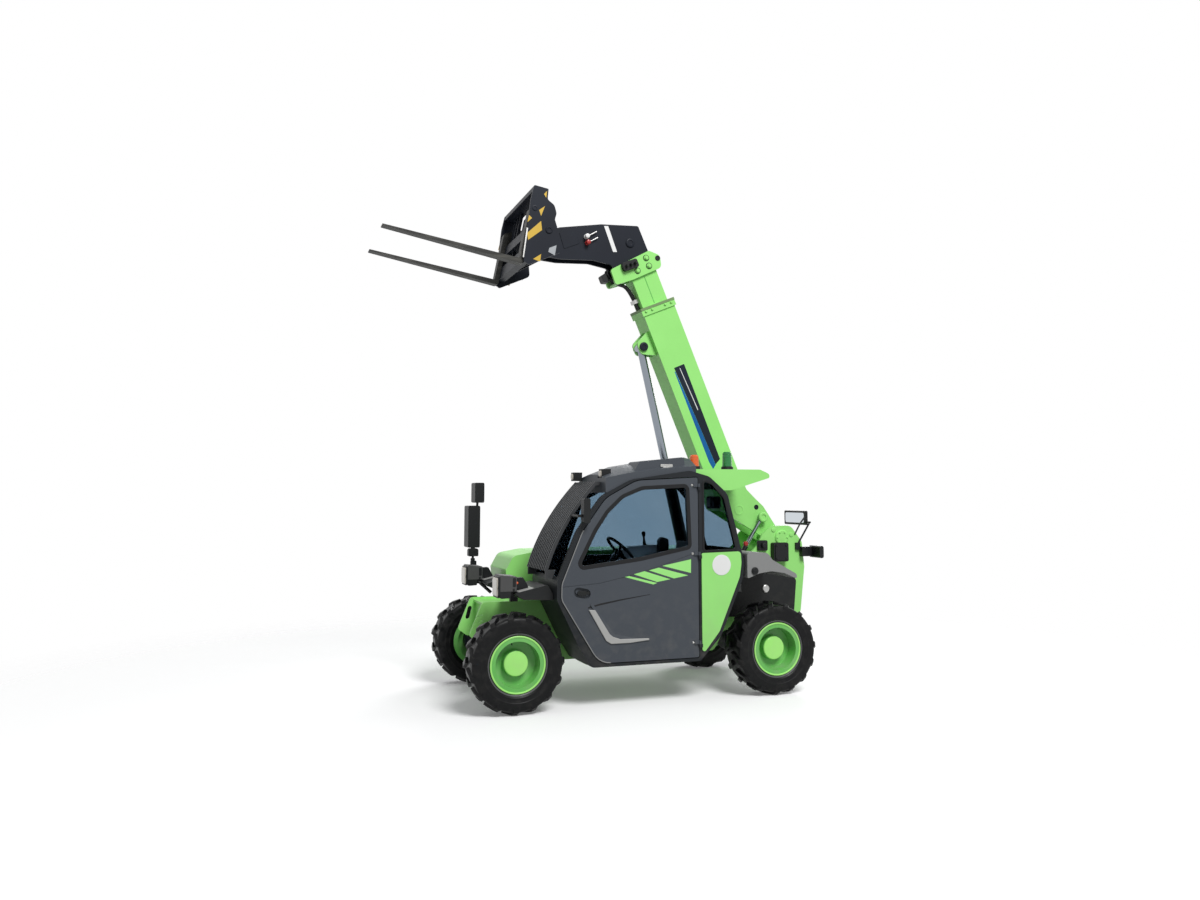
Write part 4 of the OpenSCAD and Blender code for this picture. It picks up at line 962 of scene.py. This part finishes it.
# The thin black line along the door's crease is painted shade.
piece("door_crease_shade", laid_on(CREASE_SHADE, DOOR_FACE, 1, 0.8), seal_black, "door", 0.3, "cab_shell")
hinge_bolts = [bolt(at(x, DOOR_FACE, z), LEFT, 15) for x, z in HINGES]
piece("door_hinge_bolts", together(*hinge_bolts), plated_steel, "door", 0.5)
paddle = together(
    laid_on(box_outline(612, 962, 700, 1002, 18), DOOR_FACE, 5, 5),
    turned([(14, 0), (14, 4), (11, 6), (1, 6)], at(600, DOOR_FACE - 5, 980), LEFT, 24),
)
piece("door_handle", paddle, trim_black, "door", 4)
sign = turned([(92, 0), (92, 2.5), (88, 3.5), (1, 3.5)], at(-666, 910, 1188), LEFT, 56)
piece("blank_sign", sign, sign_white, edge=0.6)
filler = together(
    turned([(34, 0), (34, 12), (29, 17), (1, 17)], at(-994, 925, 1127), LEFT),
    slab(box_outline(-1018, 1121, -970, 1133, 4), 940, 950),
)
piece("cowl_cap", filler, trim_black, edge=2)
print("trim done, pieces so far", len(pieces))

# %% [markdown]
# A raised locker is moulded into the roof. Its silver catch is a hasp over a plate, two slabs on the
# locker's side.

# %% Roof
LOCKER_FACE = 853
catch = together(
    laid_on(box_outline(-216, 2068, -96, 2094, 8), LOCKER_FACE, 0, 9),
    laid_on(box_outline(-186, 2058, -120, 2072, 5), LOCKER_FACE, 0, 15),
)
piece("roof_locker_catch", catch, plated_steel, edge=2)
print("roof done, pieces so far", len(pieces))

# %% [markdown]
# The boom wears a long band on each side: dark navy above, blue below, with a thin pale line in the navy. A
# seam runs along the inner tube where two pressings are welded, and a flange and a wiper close the mouth of
# the outer tube; the flange's dark olive is painted shade. The head has plate bolts in dark rings of painted
# shade, a dark disc of painted shade over a pin hole, a black hose block and a small work lamp. All are
# laid out in the boom's own frame and ride the tube that they sit on.

# %% Boom
OUTER_HALF = 130
FOOT_HALF = 155
COLLAR_HALF = 144
INNER_HALF = 95
HEAD_HALF = 125
TUBE_MID = -275
TUBE_HALF = 142
COLLAR_DEPTH = 191
BANDS = (
    ("navy", band_navy, 1, 0.2, [(1967, -351), (1967, -233), (946, -238), (915, -305), (1400, -322)]),
    ("blue", band_blue, 0.9, 0.2,
     [(1930, -361), (1930, -352), (1400, -323), (910, -306), (883, -349), (964, -363)]),
    ("line", sign_white, 1.4, 0.1, [(1944, -296), (1944, -290), (1487, -268), (1487, -276)]),
)
SEAM = [(2640, -285), (2930, -285), (2930, -275), (2640, -275)]
HEAD_BOLTS = ((3089, -203), (3005, -204), (2998, -340))
LIFT_CAP = [(44, 0), (44, 8), (36, 12), (20, 12), (18, 7), (1, 7)]
LEVEL_CAP = [(50, 0), (50, 12), (42, 18), (26, 18), (24, 11), (1, 11)]
for side, word, outward in SIDES:
    for name, finish, proud, edge, outline in BANDS:
        band = laid_on(outline, OUTER_HALF, 0.5, proud, side, on_boom)
        piece("boom_band_%s_%s" % (name, word), band, finish, "boom", edge, "paint")
    seam = laid_on(SEAM, INNER_HALF, 1, 1, side, on_boom)
    piece("inner_seam_" + word, seam, rim_green, "boom_inner", 0.8)
    bolt_places = [on_boom(u, side * HEAD_HALF, w) for u, w in HEAD_BOLTS]
    head_bolts = [bolt(place, outward, 36) for place in bolt_places]
    piece("head_bolts_" + word, together(*head_bolts), frame_green, "boom_inner", 0.6)
    # The dark rings round the bolt heads and the dark disc over the pin hole are painted shade.
    shade_rings = [turned([(33, 0), (33, 1.5), (1, 1.5)], place, outward, 28) for place in bolt_places]
    pin_hole_place = on_boom(3050, side * HEAD_HALF, -85)
    shade_rings.append(turned([(27, 0), (27, 5), (18, 6), (15, 1), (1, 1)], pin_hole_place, outward, 28))
    piece("head_bolt_shade_rings_" + word, together(*shade_rings), barrel_black, "boom_inner", 0.5)
    collar_bolts = [bolt(on_boom(2590, side * COLLAR_HALF, w), outward, 22) for w in (-420, -350, -200, -130)]
    piece("collar_bolts_" + word, together(*collar_bolts), frame_green, "boom", 0.5)
    lift_cap = turned(LIFT_CAP, on_boom(2274, side * 90, -556), outward)
    piece("lift_pin_cap_" + word, lift_cap, dark_enamel, "boom", 1)


def round_boom(a, depth, c):
    """Place function of a frame round the boom: a to the left, depth along it, c up from it."""
    return on_boom(depth, a, c)


def tube_outline(half, depth, corner):
    """The outline of a tube of the boom, by half its width and half its depth."""
    return box_outline(-half, TUBE_MID - depth, half, TUBE_MID + depth, corner)


mouth = tube_outline(INNER_HALF + 4, TUBE_HALF + 4, 12)
piece("boom_wiper", ring_slab(grown(mouth, 26), mouth, 2619, 2630, round_boom), cowl_grey, "boom", 2)
collar = tube_outline(COLLAR_HALF, COLLAR_DEPTH, 3)
# The flange's dark olive is painted shade along the collar's edge.
flange = ring_slab(grown(collar, 4), grown(collar, -1), 2604, 2631, round_boom)
piece("collar_flange", flange, flange_shade_olive, "boom")
piece("level_pin_cap", turned(LEVEL_CAP, on_boom(244, 211, -64), LEFT, 36), frame_green, "boom", 1)
FOOT_RING = [(52, 0), (52, 2.2), (44, 3), (36, 2.2), (36, 0)]
foot_ring = turned(FOOT_RING, on_boom(401, FOOT_HALF, -254), LEFT, 40, "open")
piece("boom_foot_ring", foot_ring, frame_green, "boom", 0.8)
foot_plug = turned([(24, 0), (24, 5), (16, 6), (14, 2), (1, 2)], on_boom(353, FOOT_HALF, -66), LEFT, 28)
piece("boom_foot_plug", foot_plug, dark_enamel, "boom", 0.6)
HOSE_END = [(15, 0), (15, 26), (11, 30), (11, 44)]
hose_block = together(
    laid_on(box_outline(3030, -490, 3118, -318, 22), HEAD_HALF, 0, 42, place=on_boom),
    *(turned(HOSE_END, on_boom(3074, HEAD_HALF + 40, w), LEFT, 20) for w in (-450, -402, -354)),
)
piece("hose_block", hose_block, trim_black, "boom_inner", 4)
head_lamp = together(
    slab(rounded([(2986, -640, 12), (3008, -696, 16), (3078, -696, 16), (3090, -640, 12)]), -40, 60, on_boom),
    slab(box_outline(3013, -646, 3063, -600, 4), -10, 30, on_boom),
)
piece("head_lamp", head_lamp, trim_black, "boom_inner", 4)
print("boom done, pieces so far", len(pieces))

# %% [markdown]
# Steel pipes feed the head. They run under the inner tube in a clamp, loop up behind the hose block and end
# in quick couplers on the nose: two are capped red and white. A pipe is a bar along a smooth path between
# stops.

# %% Pipes and couplers
NOSE_HALF = 95
PIPE_STOPS = (
    (2600, 0, -430), (2760, 0, -438), (2890, 0, -470), (2960, 6, -560), (3060, 10, -618), (3110, 10, -600),
)
COUPLER = [(24, 0), (24, 14), (19, 18), (19, 44), (22, 48), (22, 58), (15, 62), (1, 62)]
NOSE_BOSS = [(46, 0), (46, 10), (38, 14), (26, 14), (24, 9), (1, 9)]
NOSE_LINE = [(3527, -491), (3514, -450), (3243, -461), (3256, -501)]
NOSE_PANEL = [(3440, -975, 12), (3440, -800, 12), (3580, -800, 12), (3630, -900, 12), (3600, -960, 12)]
for k, y in enumerate((-30, -2, 26)):
    stops = [on_boom(u, y + aside, w) for u, aside, w in PIPE_STOPS]
    piece("head_pipe_%d" % k, tube(smooth_path(stops), 9), trim_black, "boom_inner", 0.5)
clamp = block(box_outline(2700, -460, 2740, -412, 6), 0, 55, on_boom)
piece("pipe_clamp", clamp, plated_steel, "boom_inner", 2)
for k, (u, w, finish) in enumerate(((3481, -713, sign_white), (3422, -726, coupler_red))):
    piece("coupler_cap_%d" % k, turned(COUPLER, on_boom(u, NOSE_HALF, w), LEFT, 28), finish, "boom_inner", 1)
    lever = tube([on_boom(u, NOSE_HALF + 22, w + 20), on_boom(u + 14, NOSE_HALF + 26, w + 118)], 6)
    piece("coupler_lever_%d" % k, lever, plated_steel, "boom_inner", 0.5)
nose_boss = turned(NOSE_BOSS, on_boom(3285, NOSE_HALF, -294), LEFT, 36)
piece("nose_boss_left", nose_boss, dark_enamel, "boom_inner", 1)
nose_line = laid_on(NOSE_LINE, NOSE_HALF, 0.5, 1, place=on_boom)
piece("nose_line", nose_line, sign_white, "boom_inner", 0.2, "dark_steel")
nose_panel = laid_on(rounded(NOSE_PANEL), NOSE_HALF, 1, 5, place=on_boom)
piece("nose_panel", nose_panel, dark_enamel, "boom_inner", 3)
print("nose done, pieces so far", len(pieces))

# %% [markdown]
# The carriage's side plates carry yellow hazard patches, a pale wear strip by the fork, a pin with a keeper
# and a small steel plate. They are thin slabs in the carriage's frame, the same on both sides.

# %% Carriage
CARRIAGE_HALF = 570
PATCHES = [
    [(-53, 684), (-75, 721), (-80, 655)],
    [(-37, 523), (-84, 576), (-66, 473)],
    [(30, 281), (-75, 428), (-101, 348), (8, 220)],
    [(-72, 60), (-136, 126), (-141, 54)],
    [(45, 450), (12, 431), (47, 381)],
]
WEAR_STRIP = [(44, 330), (30, 329), (14, 52), (26, 50)]
KEEPER = [(-198, 201), (-262, 245), (-264, 146), (-196, 162)]
CARRIAGE_PIN = [(34, 0), (34, 6), (28, 10), (20, 10), (18, 5), (1, 5)]
CARRIAGE_EYE = [(26, 0), (26, 5), (14, 6), (12, 1)]
for side, word, outward in SIDES:
    patches = [laid_on(patch, CARRIAGE_HALF, 0.5, 0.9, side, on_carriage) for patch in PATCHES]
    piece("hazard_patches_" + word, together(*patches), hazard_yellow, "carriage", 0.1)
    wear_strip = laid_on(WEAR_STRIP, CARRIAGE_HALF, 0.5, 4, side, on_carriage)
    piece("wear_strip_" + word, wear_strip, plated_steel, "carriage", 0.8)
    pin = turned(CARRIAGE_PIN, on_carriage(-165, side * CARRIAGE_HALF, 366), outward)
    eye = turned(CARRIAGE_EYE, on_carriage(4, side * CARRIAGE_HALF, 531), outward, 28)
    piece("carriage_pin_" + word, together(pin, eye), dark_enamel, "carriage", 1)
    keeper = laid_on(KEEPER, CARRIAGE_HALF, 0.5, 6, side, on_carriage)
    piece("carriage_keeper_" + word, keeper, cast_block, "carriage")
print("carriage done, pieces so far", len(pieces))

# %% [markdown]
# Mirrors have glass only on the side that the driver sees. Each pane is a thin slab just proud of its
# shell, with a polished face, and a ball clamp joins the shell to its post.

# %% Mirrors
MIRRORS = (
    ("left", 608, (911, 1588, 979, 1782)),
    ("right", 1175, (-979, 1308, -796, 1707)),
    ("right_top", 1135, (-964, 1753, -796, 1937)),
    ("rear", -1954, (-186, 1532, 186, 1634)),
)
for name, x, box in MIRRORS:
    piece("mirror_glass_" + name, slab(box_outline(*box, 20), x - 2, x + 1, across), mirror_silver, edge=0.6)
BALL = [(20, -16), (22, -8), (22, 8), (20, 16)]
clamps = together(
    *(turned(BALL, at(1240, -815, z), UP, 24) for z in (1075, 1180, 1285)),
    slab(box_outline(1205, 1085, 1262, 1170, 6), -832, -798),
    slab(rounded([(1190, 1215, 12), (1290, 1215, 12), (1290, 1292, 20), (1190, 1292, 20)]), -850, -780),
    tube([at(1250, -600, 1005), at(1120, -520, 880)], 16),
)
piece("mirror_post_clamps", clamps, trim_black, edge=2)
strut = tube(smooth_path([at(-1800, 262, 1420), at(-1880, 240, 1530), at(-1962, 205, 1600)]), 8)
piece("rear_mirror_strut", strut, trim_black, edge=0.5)
print("mirrors done, pieces so far", len(pieces))

# %% [markdown]
# The tail: lamp clusters with red, amber and clear lenses on the rear bar, a black control box and a cap on
# the tower, pin caps where the boom and its cylinders hang, and a silver cap on the liner behind the rear
# wheel. They are slabs and turned caps on the faces of the tower's two plates.

# %% Tail and tower
TOWER_FACE = 260
PIVOT_X = -1651
PIVOT_Z = 1394
PIVOT_CAP = [(74, 0), (74, 10), (66, 16), (44, 16), (40, 10), (1, 10)]
PIN_CAPS = ((-840, 750, 46), (-1096, 962, 32), (-1560, 1470, 22), (-1760, 1420, 22))  # x, z, radius
TAIL_LENSES = (("red", lens_red, 276, 352), ("amber", lens_amber, 358, 414), ("clear", lens_clear, 420, 464))
LINER_TAIL = rounded([
    (-1690, 650, 10), (-1668, 890, 10), (-1552, 1004, 10), (-1580, 1040, 14), (-1750, 1040, 40),
    (-1806, 970, 40), (-1775, 650, 20),
])
for side, word, outward in SIDES:
    for colour, finish, y0, y1 in TAIL_LENSES:
        tail_lens = slab(box_outline(side * y0, 1206, side * y1, 1300, 10), -2010, -2000, across)
        piece("tail_lens_%s_%s" % (colour, word), tail_lens, finish, "chassis", 3, "trim_black")
    ring = circle(Vector((56, 0)), Vector((0, 56)), 6)
    pivot_cap = together(
        turned(PIVOT_CAP, at(PIVOT_X, side * TOWER_FACE, PIVOT_Z), outward, 40),
        *(bolt(at(PIVOT_X + p.x, side * (TOWER_FACE + 14), PIVOT_Z + p.y), outward, 16) for p in ring),
    )
    piece("pivot_cap_" + word, pivot_cap, frame_green, edge=1)
    pin_caps = [turned([(r, 0), (r, 6), (r - 5, 9), (1, 9)], at(x, side * TOWER_FACE, z), outward, 28)
                for x, z, r in PIN_CAPS]
    piece("frame_pin_caps_" + word, together(*pin_caps), frame_green, edge=1)
    liner = laid_on(LINER_TAIL, TOWER_FACE, 1, 6, side)
    piece("liner_tail_" + word, liner, trim_black, edge=2)
BOX_FACE = 338
SCREW = [(9, 0), (9, 5), (6, 7), (1, 7)]
control_box = together(
    laid_on(box_outline(-1690, 1160, -1525, 1345, 18), TOWER_FACE, 0, 70),
    laid_on(box_outline(-1676, 1176, -1540, 1330, 14), BOX_FACE, 10, 0),
    *(turned(SCREW, at(x, BOX_FACE, z), LEFT, 18) for x in (-1660, -1556) for z in (1190, 1316)),
)
piece("tower_box", control_box, trim_black, edge=5)
knob = together(
    laid_on(box_outline(-1475, 1268, -1372, 1370, 14), TOWER_FACE, 0, 36),
    turned([(26, 0), (26, 22), (20, 30), (1, 30)], at(-1425, TOWER_FACE + 36, 1320), LEFT, 28),
)
piece("tower_knob", knob, trim_black, edge=3)
red_cap = turned([(24, 0), (24, 20), (18, 28), (1, 28)], at(-1243, TOWER_FACE + 2, 1340), LEFT, 28)
piece("fill_cap", red_cap, coupler_red, edge=2)
silver_cap = turned([(38, 0), (38, 10), (30, 15), (1, 15)], at(-1457, TOWER_FACE + 8, 897), LEFT)
piece("liner_cap", silver_cap, plated_steel)
print("tail done, pieces in all", len(pieces))

# %% [markdown]
# The studio is a pale floor under a white sky. The floor keeps the machine's soft shadow and fades out
# round it, so that floor and backdrop join without a line. One broad lamp, high on the cab's side and a
# little behind, gives the forms a light side and leaves the front in shade, a weaker one lights the far
# side, and the sky fills the rest. What the camera, glass and gloss see of sky and floor is pale, while
# what lights the machine is dimmer.

# %% Studio
FLOOR_HALF = 20
FLOOR_DROP = 0.5 * MM
FLOOR_FADE = (2.6, 7.0)
SKY_FILL = 0.34
MIX = "ShaderNodeMixShader"


def looked_at(graph):
    """1 for a ray from the camera, from gloss or through glass, and 0 for a ray that carries light."""
    path = graph.tree.nodes.new("ShaderNodeLightPath").outputs
    kinds = ("Is Camera Ray", "Is Transmission Ray", "Is Glossy Ray")
    eye, glass, gloss = (Wire(graph, path[kind]) for kind in kinds)
    either = eye.math("MAXIMUM", eye, glass)
    return either.math("MAXIMUM", either, gloss)


world = bpy.data.worlds.new("studio_sky")
bpy.context.scene.world = world
sky = Graph(world)
sky_light = sky.node("ShaderNodeBackground", {}, {"Color": (0.96, 0.98, 1.0), "Strength": SKY_FILL})
sky_white = sky.node("ShaderNodeBackground", {}, {"Color": (1, 1, 1)})
sky_shown = sky.node(MIX, {}, {0: looked_at(sky), 1: sky_light, 2: sky_white})
sky.feed(sky.tree.nodes.new("ShaderNodeOutputWorld").inputs[0], sky_shown)

ground = Finish("studio_floor")
ground.shade(Base_Color=(0.92, 0.92, 0.92), Roughness=0.9, Emission_Color=(1, 1, 1), Emission_Strength=0.12)
pale = Wire(ground, ground.shader.outputs[0])
dim = ground.node("ShaderNodeBsdfDiffuse", {}, {0: (0.35, 0.35, 0.35)})
floor_shown = ground.node(MIX, {}, {0: looked_at(ground), 1: dim, 2: pale})
reach = ground.node("ShaderNodeVectorMath", {"operation": "LENGTH"}, {0: ground.place()}, out=1)
clear = ground.node("ShaderNodeBsdfTransparent")
faded = ground.node(MIX, {}, {0: reach.ramp(*FLOOR_FADE), 1: floor_shown, 2: clear})
ground.feed(ground.output.inputs[0], faded)

floor_mesh = bpy.data.meshes.new("studio_floor")
floor_corners = [(x * FLOOR_HALF, y * FLOOR_HALF, 0) for x, y in ((-1, -1), (1, -1), (1, 1), (-1, 1))]
floor_mesh.from_pydata(floor_corners, [], [(0, 1, 2, 3)])
floor_mesh.materials.append(ground.material)
floor = new_object("studio_floor", floor_mesh)
floor.location.z = -FLOOR_DROP

machine_middle = at(0, 0, 1800)
for name, place, size, power in (("key", at(-1500, 13500, 15000), 8.0, 3250),
                                 ("far_fill", at(-9000, -13000, 9000), 9.0, 1300)):
    lamp = bpy.data.lights.new(name, "AREA")
    lamp.shape = "DISK"
    lamp.size = size
    lamp.energy = power
    aim(new_object(name, lamp), place, machine_middle - place)
bpy.context.scene.view_settings.view_transform = "Standard"
print("studio ready, lamps", len(bpy.data.lights))
